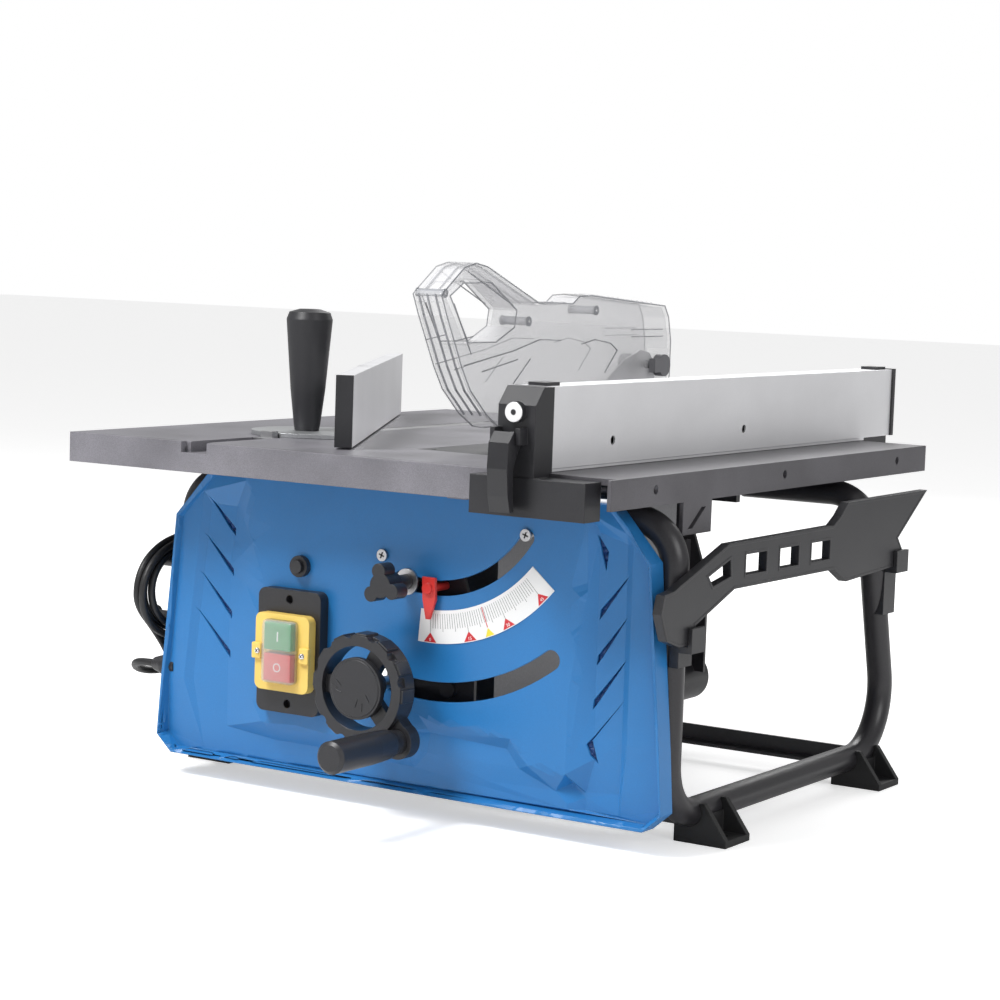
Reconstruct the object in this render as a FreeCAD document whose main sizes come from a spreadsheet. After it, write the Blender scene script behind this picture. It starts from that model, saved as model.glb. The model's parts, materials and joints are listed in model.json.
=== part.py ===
"""Bench table saw with a tubular stand, a tilting and lifting blade carriage and a sliding extension.

Millimetres, +Z up, +X to the right of the operator, +Y away from the operator. The origin is on the
floor at the centre of the four bench bolt holes in the feet. Most places are given from the front
left top corner of the table, through the function at().
"""
import FreeCAD, Part
import math
import os
import re
from types import SimpleNamespace

SIZES = {
    # table
    "table_wide": 487.0,
    "table_deep": 642.0,
    "table_high": 330.0,
    "table_left": -342.5,
    "table_front": -323.5,
    "plate_thick": 6.0,
    "skirt_high": 28.0,
    "skirt_thick": 5.0,
    "miter_slot_x": 152.0,
    "miter_slot_wide": 20.0,
    "miter_slot_deep": 10.0,
    "insert_left": 318.0,
    "insert_right": 428.0,
    "insert_front": 120.0,
    "insert_back": 480.0,
    "insert_thick": 4.0,
    "insert_ledge": 5.0,
    # extension
    "ext_wide": 117.5,
    "ext_gap": 0.5,
    "ext_skirt": 26.0,
    "ext_front": -12.0,
    "ext_wall": 4.0,
    "guide_radius": 9.0,
    "guide_front": 25.0,
    "guide_back": 600.0,
    "guide_drop": 16.0,
    "guide_long": 278.0,
    "running": 0.05,
    "loose": 0.3,
    # stand
    "stand_half": 265.5,
    "tube_radius": 12.5,
    "tube_wall": 1.8,
    "leg_front": 96.0,
    "leg_back_low": 555.0,
    "leg_back_high": 485.0,
    "rail_high": 27.5,
    "top_bend_drop": 42.0,
    "foot_front": 162.5,
    "foot_back": 484.5,
    "foot_long": 46.0,
    "foot_reach": 50.5,
    "foot_base": 6.0,
    "foot_hole_radius": 3.5,
    "foot_hole_x": 290.0,
    # front panel
    "panel_front": 62.0,
    "panel_thick": 3.0,
    "panel_return": 18.0,
    "panel_low": 22.0,
    "panel_high": 316.0,
    # blade and carriage
    "blade_x": 380.0,
    "blade_y": 285.0,
    "blade_radius": 127.5,
    "blade_kerf": 2.8,
    "blade_body": 1.8,
    "blade_bore": 15.0,
    "blade_drop": 130.5,
    "upper_slot_radius": 118.0,
    "upper_slot_half": 7.0,
    "lower_slot_radius": 212.0,
    "lower_slot_half": 9.0,
    "trunnion_in": 40.0,
    "trunnion_out": 50.0,
    "swing_front": 84.0,
    "swing_back": 522.0,
    "swing_thick": 4.0,
    "shroud_half": 26.0,
    "shroud_wall": 2.0,
    "shroud_front": 130.0,
    "shroud_back": 465.0,
    "shroud_low": -284.0,
    "port_radius": 25.0,
    "port_wall": 2.0,
    "port_drop": 256.0,
    "port_end": 552.0,
    "lift_x": 338.0,
    "rod_radius": 8.0,
    "rod_front": 200.0,
    "rod_back": 385.0,
    "screw_y": 230.0,
    "screw_radius": 6.0,
    "arbor_radius": 8.0,
    "pulley_big": 30.0,
    "pulley_small": 9.0,
    "belt_thick": 3.0,
    "motor_dy": 75.0,
    "motor_drop": 20.0,
    "motor_radius": 45.0,
    "motor_long": 139.0,
    # handwheel
    "wheel_x": 338.0,
    "wheel_z": -208.0,
    "wheel_radius": 48.0,
    "wheel_front": 6.0,
    "wheel_deep": 28.0,
    "grip_offset": 60.0,
    "grip_angle": -47.0,
    "grip_radius": 14.5,
    "grip_long": 100.0,
    # fence
    "fence_right": 532.0,
    "fence_wide": 30.0,
    "fence_low": 3.0,
    "fence_high": 73.0,
    "fence_start": 4.0,
    "fence_end": 699.0,
    # miter gauge
    "miter_y": 172.0,
    "miter_turn": 60.0,
    "miter_radius": 54.0,
    "miter_face": 62.0,
    "miter_thick": 16.0,
    "miter_near": 166.0,
    "miter_far": 350.0,
    # guard
    "guard_half": 15.0,
    "guard_wall": 2.5,
    "guard_pivot_y": 432.0,
    "guard_pivot_z": 76.0,
    # push stick
    "stick_x": 622.0,
    "stick_thick": 8.0,
    # cord
    "cord_radius": 3.75,
}

X = FreeCAD.Vector(1, 0, 0)
Y = FreeCAD.Vector(0, 1, 0)
Z = FreeCAD.Vector(0, 0, 1)

doc = FreeCAD.newDocument("table_saw")
sheet = doc.addObject("Spreadsheet::Sheet", "dims")
for row, (alias, value) in enumerate(SIZES.items(), start=1):
    sheet.set(f"A{row}", alias)
    sheet.set(f"B{row}", repr(value))
    sheet.setAlias(f"B{row}", alias)
doc.recompute()
S = SimpleNamespace(**{alias: float(getattr(sheet, alias)) for alias in SIZES})
NODES = []


# ---------------------------------------------------------------- helpers

def at(x, y, z):
    """A point measured from the front left top corner of the table."""
    return FreeCAD.Vector(S.table_left + x, S.table_front + y, S.table_high + z)


def floor(x, y, z):
    """A point in the part's own frame, for pieces that stand on the floor."""
    return FreeCAD.Vector(x, y, z)


def bind(item, **formulas):
    """Tie properties to formulas over the sheet's names."""
    for prop, text in formulas.items():
        words = re.sub(r"[a-z_]{4,}", lambda m: "dims." + m.group() if m.group() in SIZES else m.group(), text)
        item.setExpression(prop, words)


def node(name, item):
    """Name an object as one sub-part."""
    item.Label = name
    NODES.append(item)
    return item


def block(name, corner, length, width, height):
    """A box whose three sizes are formulas over the sheet."""
    item = doc.addObject("Part::Box", name)
    bind(item, Length=length, Width=width, Height=height)
    item.Placement = FreeCAD.Placement(corner, FreeCAD.Rotation())
    return item


def bar(name, start, direction, radius, length):
    """A cylinder whose radius and length are formulas over the sheet."""
    item = doc.addObject("Part::Cylinder", name)
    bind(item, Radius=radius, Height=length)
    item.Placement = FreeCAD.Placement(start, FreeCAD.Rotation(Z, direction))
    return item


def cut(name, base, *tools):
    """The base object less each tool, as a chain of Part::Cut objects."""
    for count, tool in enumerate(tools):
        item = doc.addObject("Part::Cut", f"{name}_cut{count}")
        item.Base = base
        item.Tool = tool
        base = item
    return base


def fuse(name, *items):
    """One solid from several objects."""
    item = doc.addObject("Part::MultiFuse", name + "_fuse")
    item.Shapes = list(items)
    item.Refine = True
    return item


def made(name, *shapes, place=None):
    """A sub-part set from Part's own functions, as one solid or a group of them."""
    item = doc.addObject("Part::Feature", name)
    item.Shape = shapes[0] if len(shapes) == 1 else Part.makeCompound(list(shapes))
    item.Placement = place or FreeCAD.Placement()
    return node(name, item)


def brick(x0, x1, y0, y1, z0, z1):
    """A box shape between two corners measured from the table's corner."""
    return Part.makeBox(x1 - x0, y1 - y0, z1 - z0, at(x0, y0, z0))


def rod(start, direction, radius, length):
    return Part.makeCylinder(radius, length, start, direction)


def pipe(start, direction, outer, inner, length):
    return rod(start, direction, outer, length).cut(rod(start, direction, inner, length))


def plate_xz(points, y, thick):
    """A flat plate that faces the operator, from its outline in X and Z."""
    wire = Part.makePolygon([at(px, y, pz) for px, pz in points + points[:1]])
    return Part.Face(wire).extrude(Y * thick)


def plate_yz(points, x, thick):
    wire = Part.makePolygon([at(x, py, pz) for py, pz in points + points[:1]])
    return Part.Face(wire).extrude(X * thick)


def plate_xy(points, z, thick):
    wire = Part.makePolygon([at(px, py, z) for px, py in points + points[:1]])
    return Part.Face(wire).extrude(Z * thick)


def swing(radius, angle, y):
    """A point on an arc about the tilt axis; the angle is from straight down towards +X."""
    turn = math.radians(angle)
    return at(S.blade_x + radius * math.sin(turn), y, -radius * math.cos(turn))


def arc_band(inner, outer, first, last, y, thick, round_ends=False):
    """A band about the tilt axis between two radii and two angles."""
    middle = (first + last) / 2
    mean = (inner + outer) / 2
    end_turn = math.degrees((outer - inner) / 2 / mean) if round_ends else 0.0
    corners = {}
    for tag, radius in (("in", inner), ("out", outer)):
        corners[tag] = [swing(radius, angle, y) for angle in (first, middle, last)]
    edges = [Part.Arc(*corners["out"]).toShape(), Part.Arc(*corners["in"]).toShape()]
    for index, angle, side in ((0, first, -1), (2, last, 1)):
        low, high = corners["in"][index], corners["out"][index]
        if round_ends:
            edges.append(Part.Arc(low, swing(mean, angle + side * end_turn, y), high).toShape())
        else:
            edges.append(Part.LineSegment(low, high).toShape())
    wire = Part.Wire(Part.__sortEdges__(edges))
    return Part.Face(wire).extrude(Y * thick)


def bent_path(points, radii):
    """Straight runs joined by tangent arcs; one radius for each inner point."""
    edges = []
    start = points[0]
    for index in range(1, len(points) - 1):
        before, corner, after = points[index - 1], points[index], points[index + 1]
        back = (before - corner).normalize()
        ahead = (after - corner).normalize()
        half_open = back.getAngle(ahead) / 2
        reach = radii[index - 1] / math.tan(half_open)
        first = corner + back * reach
        last = corner + ahead * reach
        inward = (back + ahead).normalize()
        middle = corner + inward * (radii[index - 1] / math.sin(half_open) - radii[index - 1])
        if (first - start).Length > 1e-6:
            edges.append(Part.LineSegment(start, first).toShape())
        edges.append(Part.Arc(first, middle, last).toShape())
        start = last
    edges.append(Part.LineSegment(start, points[-1]).toShape())
    return Part.Wire(edges)


def swept(path, radius):
    """A round bar along a path of lines and tangent arcs."""
    edge = path.Edges[0]
    start = edge.valueAt(edge.FirstParameter)
    ring = Part.Wire(Part.makeCircle(radius, start, edge.tangentAt(edge.FirstParameter)))
    return path.makePipeShell([ring], True, False)


def spun(profile, centre, axis):
    """A turned piece: (radius, distance along the axis) pairs about a centre line."""
    return spun_about(profile, centre, axis, Z if abs(axis.z) < 0.5 else X)


def spun_about(profile, centre, axis, side):
    points = [centre + side * radius + axis * along for radius, along in profile]
    face = Part.Face(Part.makePolygon(points + points[:1]))
    return face.revolve(centre, axis, 360)


def turned(name, profile, start, axis):
    """A PartDesign body turned from a (radius, height) profile, stood on an axis."""
    body = doc.addObject("PartDesign::Body", name)
    sketch = body.newObject("Sketcher::SketchObject", name + "_profile")
    sketch.AttachmentSupport = [(body.Origin.OriginFeatures[4], "")]
    sketch.MapMode = "FlatFace"
    corners = [FreeCAD.Vector(radius, along, 0) for radius, along in profile]
    for first, last in zip(corners, corners[1:] + corners[:1]):
        sketch.addGeometry(Part.LineSegment(first, last))
    turn = body.newObject("PartDesign::Revolution", name + "_turn")
    turn.Profile = sketch
    turn.ReferenceAxis = (sketch, ["V_Axis"])
    turn.Angle = 360.0
    body.Tip = turn
    doc.recompute()
    body.Placement = FreeCAD.Placement(start, FreeCAD.Rotation(Z, axis))
    return node(name, body)


# ---------------------------------------------------------------- stand

def frame_path(side):
    """In under the table, down the front leg, along the floor and up the leaning back leg."""
    depth = S.table_front
    top = S.table_high - S.top_bend_drop
    x_leg = side * S.stand_half
    x_end = S.table_left + S.table_wide - S.skirt_thick - 9.5 if side > 0 else S.table_left + 137.5
    corners = [
        floor(x_end, depth + S.leg_front, top),
        floor(x_leg, depth + S.leg_front, top),
        floor(x_leg, depth + S.leg_front, S.rail_high),
        floor(x_leg, depth + S.leg_back_low, S.rail_high),
        floor(x_leg, depth + S.leg_back_high, top),
        floor(x_end, depth + S.leg_back_high, top),
    ]
    return bent_path(corners, [38.0, 50.0, 62.0, 38.0])


FRAME_TUBES = {side: swept(frame_path(side), S.tube_radius) for side in (-1, 1)}


def side_frame(name, side):
    """One bent tube with a gusset plate behind the front leg."""
    tube = FRAME_TUBES[side].cut(swept(frame_path(side), S.tube_radius - S.tube_wall))
    top = S.table_high - S.top_bend_drop
    gusset_x = side * (S.stand_half - S.tube_radius)
    corner = floor(min(gusset_x, gusset_x + side * 4), S.table_front + S.leg_front, top - 92)
    gusset = Part.makeBox(4, 43, 92 - S.tube_radius - 6, corner).cut(FRAME_TUBES[side])
    return made(name, tube.fuse(max(gusset.Solids, key=lambda s: s.Volume)))


side_frame("side_frame_left", -1)
side_frame("side_frame_right", 1)


def foot(side, y):
    """A rubber wedge under the floor run, with a bolt ear outside the tube."""
    tube_in = side * (S.stand_half - S.tube_radius)
    tube_out = side * (S.stand_half + S.tube_radius)
    ear = side * (S.stand_half - S.tube_radius + S.foot_reach)
    y0 = S.table_front + y - S.foot_long / 2
    base_x = min(tube_in, ear)
    base = Part.makeBox(S.foot_reach, S.foot_long, S.foot_base, floor(base_x, y0, 0))
    saddle_x = min(tube_in, tube_out) - 1.5
    saddle = Part.makeBox(2 * S.tube_radius + 3, S.foot_long, S.rail_high - 2, floor(saddle_x, y0, 0))
    fin_points = [(tube_out - side * 2, 0), (ear, 0), (ear, S.foot_base), (tube_out + side * 3, S.rail_high + 9),
                  (tube_out - side * 2, S.rail_high + 9)]
    fins = []
    for fin_y in (y0, y0 + S.foot_long - 6):
        wire = Part.makePolygon([floor(px, fin_y, pz) for px, pz in fin_points + fin_points[:1]])
        fins.append(Part.Face(wire).extrude(Y * 6))
    body = base.fuse([saddle] + fins)
    hole = Part.makeCylinder(S.foot_hole_radius, 20, floor(side * S.foot_hole_x, S.table_front + y, -5), Z)
    return body.cut([FRAME_TUBES[side], hole]).removeSplitter()


FEET = [foot(side, y) for side in (-1, 1) for y in (S.foot_front, S.foot_back)]
made("feet", *FEET)


def cross_bars():
    """Two angle bars between the floor runs of the side frames."""
    reach = S.stand_half - 4
    pieces = []
    for y, side in ((S.leg_front + 44, 1), (S.foot_back + 11, -1)):
        y_face = S.table_front + y - 1.5
        upright = Part.makeBox(2 * reach, 3, 18, floor(-reach, y_face, S.rail_high - 12))
        flat = Part.makeBox(2 * reach, 18, 3, floor(-reach, y_face - (0 if side > 0 else 15), S.rail_high - 12))
        angle = upright.fuse(flat).cut(list(FRAME_TUBES.values()) + FEET)
        pieces.append(max(angle.Solids, key=lambda s: s.Volume))
    return made("cross_bars", *pieces)


cross_bars()


# ---------------------------------------------------------------- table

def saddle_blocks():
    """Blocks cast under the table that sit on the ends of the side frames."""
    drop = S.top_bend_drop
    blocks = []
    for x0, x1 in ((137.5, 167.5), (S.table_wide - S.skirt_thick - 20.0, S.table_wide - S.skirt_thick)):
        for y in (S.leg_front, S.leg_back_high):
            piece = brick(x0, x1, y - 12, y + 12, -drop + 4, -S.plate_thick)
            tube = rod(at(x0 - 90, y, -drop), X, S.tube_radius, 230)
            blocks.append(piece.cut(tube))
    return blocks


GUIDE_BLOCK = S.table_wide - 60.0


def table_top():
    """Cast plate with a skirt, a miter slot, an insert opening and ribs."""
    wide, deep = S.table_wide, S.table_deep
    plate = brick(0, wide, 0, deep, -S.plate_thick, 0)
    outer = brick(0, wide, 0, deep, -S.skirt_high, -S.plate_thick)
    inner = brick(S.skirt_thick, wide - S.skirt_thick, S.skirt_thick, deep - S.skirt_thick,
                  -S.skirt_high, -S.plate_thick)
    half = S.miter_slot_wide / 2
    channel = brick(S.miter_slot_x - half - 5, S.miter_slot_x + half + 5, 0, deep,
                    -S.miter_slot_deep - 4, -S.plate_thick)
    ribs = [brick(S.insert_left - 9, S.insert_left - 4, S.insert_front + 5, S.insert_back - 5, -16, -S.plate_thick),
            brick(S.insert_right + 4, S.insert_right + 9, S.insert_front + 5, S.insert_back - 5, -14, -S.plate_thick)]
    lip = brick(162, 462, S.panel_front + S.panel_thick, S.panel_front + S.panel_thick + 4,
                -18, -S.plate_thick)
    guides = []
    for y in (S.guide_front, S.guide_back):
        guides.append(brick(GUIDE_BLOCK, GUIDE_BLOCK + 20, y - 14, y + 14, -30, -S.plate_thick))
    body = plate.fuse([outer.cut(inner), channel, lip] + ribs + guides + saddle_blocks())
    slot = brick(S.miter_slot_x - half, S.miter_slot_x + half, -1, deep + 1, -S.miter_slot_deep, 1)
    lead_in = brick(S.miter_slot_x - half - 5, S.miter_slot_x + half + 5, -1, 8, -S.miter_slot_deep, 1)
    ledge = S.insert_ledge
    recess = brick(S.insert_left, S.insert_right, S.insert_front, S.insert_back, -S.insert_thick, 1)
    opening = brick(S.insert_left + ledge, S.insert_right - ledge, S.insert_front + ledge,
                    S.insert_back - ledge, -S.plate_thick - 1, 1)
    tubes = [rod(at(0, y, -S.guide_drop), X, S.guide_radius + S.running, wide + 20)
             for y in (S.guide_front, S.guide_back)]
    tubes = [tube.common(brick(GUIDE_BLOCK - 1, wide + 1, 0, deep, -60, 0)) for tube in tubes]
    groove = brick(6, wide - 6, 7, 9, -0.8, 1)
    return made("table_top", body.cut([slot, lead_in, recess, opening, groove] + tubes).removeSplitter())


table_top()


def table_insert():
    """Insert plate with a slot that leaves room for the tilted blade."""
    seat = block("insert_plate", at(S.insert_left, S.insert_front, -S.insert_thick),
                 "insert_right - insert_left", "insert_back - insert_front", "insert_thick")
    slot = block("insert_slot", at(S.blade_x - 4, S.blade_y - S.blade_radius, -S.insert_thick - 1),
                 "13", "2 * blade_radius + 52", "insert_thick + 2")
    holes = [bar(f"insert_hole{i}", at(px, py, -S.insert_thick - 1), Z, "2.5", "insert_thick + 2")
             for i, (px, py) in enumerate([(S.insert_left + 12, S.insert_front + 12),
                                           (S.insert_right - 12, S.insert_back - 12)])]
    return node("table_insert", cut("table_insert", seat, slot, *holes))


table_insert()


def trunnions():
    """Two plates under the table, each with an arc groove about the tilt axis."""
    pieces = []
    for y in (S.swing_front + S.swing_thick + 3, S.swing_back - 11):
        plate = brick(S.blade_x - 70, S.blade_x + 70, y, y + 8, -64, -S.plate_thick)
        groove = arc_band(S.trunnion_in, S.trunnion_out, -28, 63, y - 1, 10)
        pieces.append(plate.cut(groove))
    return made("trunnions", *pieces)


trunnions()


# ---------------------------------------------------------------- front panel

def panel_outline():
    """Half outline of the panel: (distance from the centre line, height)."""
    half = [(205, S.panel_high), (261, 254), (276, 93), (280, 38), (262, S.panel_low)]
    return [(x, z) for x, z in half] + [(-x, z) for x, z in reversed(half)]


def outline_face(points, y):
    return Part.Face(Part.makePolygon([floor(px, y, pz) for px, pz in points + points[:1]]))


def front_panel():
    """A dished sheet: a face with two arc slots, and a return all round the edge but the top."""
    y = S.table_front + S.panel_front
    outline = panel_outline()
    body = outline_face(outline, y).extrude(Y * (S.panel_thick + S.panel_return))
    hollow_points = [(px - math.copysign(S.panel_thick, px), pz + (S.panel_thick if pz < 60 else 0))
                     for px, pz in outline]
    hollow_points = [(px, pz if pz < S.panel_high else pz + 5) for px, pz in hollow_points]
    hollow = outline_face(hollow_points, y + S.panel_thick).extrude(Y * (S.panel_return + 5))
    body = body.cut(hollow)
    deep = S.panel_thick + 4
    upper = arc_band(S.upper_slot_radius - S.upper_slot_half, S.upper_slot_radius + S.upper_slot_half,
                     -17, 57, S.panel_front - 2, deep, True)
    lower = arc_band(S.lower_slot_radius - S.lower_slot_half, S.lower_slot_radius + S.lower_slot_half,
                     -14, 37, S.panel_front - 2, deep, True)
    reset_hole = rod(at(*RESET, ) + Y * (S.panel_front - 2), Y, 6.3, deep)
    switch_hole = brick(SWITCH_X - 24, SWITCH_X + 24, S.panel_front - 2, S.panel_front + 2 + S.panel_thick,
                        SWITCH_Z - 30, SWITCH_Z + 30)
    screw_holes = [rod(at(px, S.panel_front - 2, pz), Y, 2.6, deep) for px, pz in PANEL_SCREWS]
    gland = rod(at(60, S.panel_front + GLAND_IN, GLAND_Z), X, 7.0, 20)
    notch = brick(S.table_wide - S.skirt_thick - 1, S.table_wide + 1, S.panel_front - 1, S.panel_front + 30,
                  -S.skirt_high - 1, 0)
    grooves = []
    for points in PANEL_GROOVES:
        grooves.append(plate_xz(points, S.panel_front - 1, 3))
    return made("front_panel", body.cut(grooves).cut([upper, lower, reset_hole, switch_hole, gland, notch] + screw_holes))


PANEL_GROOVES = [
    [(115, -56), (148, -85), (148, -92), (141, -86)],
    [(111, -92), (147, -124), (147, -131), (140, -124)],
    [(107, -129), (146, -165), (146, -172), (139, -165)],
    [(102, -164), (145, -203), (145, -210), (138, -203)],
    [(546, -56), (557, -70), (555, -87), (550, -72)],
    [(580, -87), (551, -121), (550, -130), (556, -122)],
    [(579, -124), (550, -161), (549, -170), (555, -162)],
    [(581, -159), (548, -200), (547, -209), (553, -201)],
    [(581, -194), (548, -236), (554, -256), (547, -250), (543, -240)],
]
RESET = (233.3, 0, -112.3)
SWITCH_X = 229.0
SWITCH_Z = -192.0
PANEL_SCREWS = [(325.3, -93.4), (478.3, -61.7)]
GLAND_IN = 11.5
GLAND_Z = -226.0
front_panel()


def panel_screws():
    pieces = []
    for px, pz in PANEL_SCREWS:
        head = rod(at(px, S.panel_front - 3, pz), Y, 5.5, 3)
        shank = rod(at(px, S.panel_front, pz), Y, 2.6, 10)
        pieces.append(head.fuse(shank))
    return made("panel_screws", *pieces)


panel_screws()


def tilt_scale():
    """Scale plate on the panel, an arc about the tilt axis."""
    return made("tilt_scale", arc_band(138, 168, -4.5, 50, S.panel_front - 0.8, 0.8))


tilt_scale()


# ---------------------------------------------------------------- switch

SWITCH_FRONT = S.panel_front - 12.0
BEZEL_FRONT = SWITCH_FRONT - 10.0
BUTTON_Z = {"start_button": SWITCH_Z + 16.0, "stop_button": SWITCH_Z - 13.0}


def switch_plate():
    """Black plate with the switch cut-out and two screw holes, and the ring of the reset button."""
    body = brick(SWITCH_X - 36, SWITCH_X + 36, SWITCH_FRONT, S.panel_front, SWITCH_Z - 58, SWITCH_Z + 58)
    upright = [edge for edge in body.Edges if abs(edge.tangentAt(edge.FirstParameter).y) > 0.9]
    body = body.makeFillet(8, upright)
    window = brick(SWITCH_X - 24, SWITCH_X + 24, SWITCH_FRONT - 1, S.panel_front + 1, SWITCH_Z - 30, SWITCH_Z + 30)
    holes = [rod(at(SWITCH_X, SWITCH_FRONT - 1, SWITCH_Z + dz), Y, 4.0, 8) for dz in (-49, 49)]
    ring_at = at(RESET[0], S.panel_front - 6, RESET[2])
    ring = pipe(ring_at, Y, 10.0, 6.3, 6)
    return made("switch_plate", body.cut([window] + holes), ring)


def switch_bezel():
    """Yellow frame with a well behind it that holds both buttons."""
    face = brick(SWITCH_X - 31, SWITCH_X + 31, BEZEL_FRONT, SWITCH_FRONT, SWITCH_Z - 36, SWITCH_Z + 36)
    upright = [edge for edge in face.Edges if abs(edge.tangentAt(edge.FirstParameter).y) > 0.9]
    face = face.makeFillet(7, upright)
    well = brick(SWITCH_X - 23.5, SWITCH_X + 23.5, SWITCH_FRONT, S.panel_front + 26, SWITCH_Z - 29.5, SWITCH_Z + 29.5)
    body = face.fuse(well)
    for z in BUTTON_Z.values():
        body = body.cut(brick(SWITCH_X - 15.5, SWITCH_X + 15.5, BEZEL_FRONT - 1, S.panel_front + 16, z - 13, z + 13))
    return made("switch_bezel", body.removeSplitter())


def switch_cover():
    """Clear soft cover over both buttons."""
    low = BUTTON_Z["stop_button"] - 15.0
    high = BUTTON_Z["start_button"] + 15.0
    shell = brick(SWITCH_X - 18.5, SWITCH_X + 18.5, BEZEL_FRONT - 9.5, BEZEL_FRONT, low, high)
    room = brick(SWITCH_X - 17, SWITCH_X + 17, BEZEL_FRONT - 8, BEZEL_FRONT + 1, low + 1.5, high - 1.5)
    return made("switch_cover", shell.cut(room))


def push_button(name):
    z = BUTTON_Z[name]
    item = block(name + "_body", at(SWITCH_X - 15.2, BEZEL_FRONT - 7, z - 12.7), "30.4", "24", "25.4")
    return node(name, item)


def reset_button():
    start = at(RESET[0], S.panel_front - 10, RESET[2])
    return node("reset_button", bar("reset_button_body", start, Y, "6.25", "18"))


switch_plate()
switch_bezel()
switch_cover()
push_button("start_button")
push_button("stop_button")
reset_button()


# ---------------------------------------------------------------- cord

def cord():
    """Gland in the panel's left return, the free lead, the hank on its two pegs and the plug."""
    wall = at(0, S.panel_front + GLAND_IN, GLAND_Z)
    left_edge = panel_left_at(wall.z)
    start = floor(left_edge, wall.y, wall.z)
    turned("cord_gland", [(0.0, -9.0), (7.0, -9.0), (7.0, 1.2), (10.0, 1.2), (10.0, 6.0), (6.0, 18.0), (0.0, 18.0)],
           start, X * -1)
    mouth = start + X * -18
    steps = [(0, 0, 0), (-18, 0, 0), (-17, 9, -5), (-12, 19, -9), (0, 27, -6), (18, 26, 6), (22, 18, 18),
             (-2, 6, 28)]
    route = []
    for step in steps:
        route.append((route[-1] if route else mouth) + FreeCAD.Vector(*step))
    runs = [(b - a).Length for a, b in zip(route, route[1:])]
    radii = []
    for index in range(1, len(route) - 1):
        turn = (route[index] - route[index - 1]).getAngle(route[index + 1] - route[index])
        radii.append(0.45 * min(runs[index - 1], runs[index]) / math.tan(turn / 2))
    print("cord radii", [round(radius, 1) for radius in radii])
    path = bent_path(route, radii)
    lead = swept(path, S.cord_radius)
    section = math.pi * S.cord_radius ** 2
    print("cord volume ratio", round(lead.Volume / (section * path.Length), 4))
    centre = floor(COIL_X, S.table_front + COIL_Y, S.table_high + COIL_Z)
    outer = oval(centre, COIL_HALF_Y, COIL_HALF_Z, COIL_WIDE)
    inner = oval(centre, COIL_HALF_Y - COIL_THICK, COIL_HALF_Z - COIL_THICK, COIL_WIDE)
    coil = outer.cut(inner)
    leave = floor(COIL_X - 5, S.table_front + COIL_Y - 53, S.table_high + COIL_Z - 38)
    plug_top = floor(COIL_X - 3, S.table_front + COIL_Y - 21, S.table_high + COIL_Z - 90)
    turn_down = leave + FreeCAD.Vector(2, 22, -28)
    tail_path = bent_path([leave, turn_down, plug_top], [80.0])
    tail = swept(tail_path, S.cord_radius).cut(outer)
    made("cord_lead", lead.cut(outer), max(tail.Solids, key=lambda s: s.CenterOfMass.z * -1))
    made("cord_coil", coil.cut([rod(start_point, X * -1, PEG_RADIUS, 80) for start_point in peg_starts()]))
    axis = (plug_top - turn_down).normalize()
    side = axis.cross(X).normalize()
    body = spun_about([(0, 0), (5, 0), (6.5, 20), (15, 26), (17, 46), (0, 46)], plug_top, axis, side)
    pins = [rod(plug_top + axis * 46 + side * dy, axis, 2.4, 16) for dy in (-9.5, 9.5)]
    made("power_plug", body.fuse(pins))


def panel_left_at(height):
    """The X of the panel's left edge at a height on its steep side."""
    (x0, z0), (x1, z1) = (261, 254), (276, 93)
    return -(x0 + (x1 - x0) * (z0 - height) / (z0 - z1))


def oval(centre, half_y, half_z, wide):
    """An ellipse in the YZ plane, drawn out along X about its centre."""
    curve = Part.Ellipse(FreeCAD.Vector(0, 0, 0), half_y, half_z).toShape()
    face = Part.Face(Part.Wire(curve))
    solid = face.extrude(Z * wide)
    place = FreeCAD.Placement(centre - X * (wide / 2), FreeCAD.Rotation(Y, Z, X, "ZXY"))
    solid.Placement = place
    return solid


def peg_starts():
    y = S.table_front + S.leg_front
    return [floor(-S.stand_half, y, S.table_high + COIL_Z + dz) for dz in (27.0, -27.0)]


PEG_RADIUS = 5.0
COIL_X = -294.0
COIL_Y = 131.0
COIL_Z = -155.0
COIL_HALF_Y = 86.0
COIL_HALF_Z = 56.0
COIL_WIDE = 26.0
COIL_THICK = 19.0
cord()


def cord_hooks():
    """Two flanged pegs on the front leg of the left side frame."""
    leg = rod(floor(-S.stand_half, S.table_front + S.leg_front, 100), Z, S.tube_radius, 200)
    pieces = []
    for start in peg_starts():
        peg = rod(start, X * -1, PEG_RADIUS, 50).fuse(rod(start + X * -46, X * -1, 9.0, 4))
        pieces.append(max(peg.cut(leg).Solids, key=lambda s: s.Volume))
    return made("cord_hooks", *pieces)


cord_hooks()


# ---------------------------------------------------------------- tilting carriage

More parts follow.
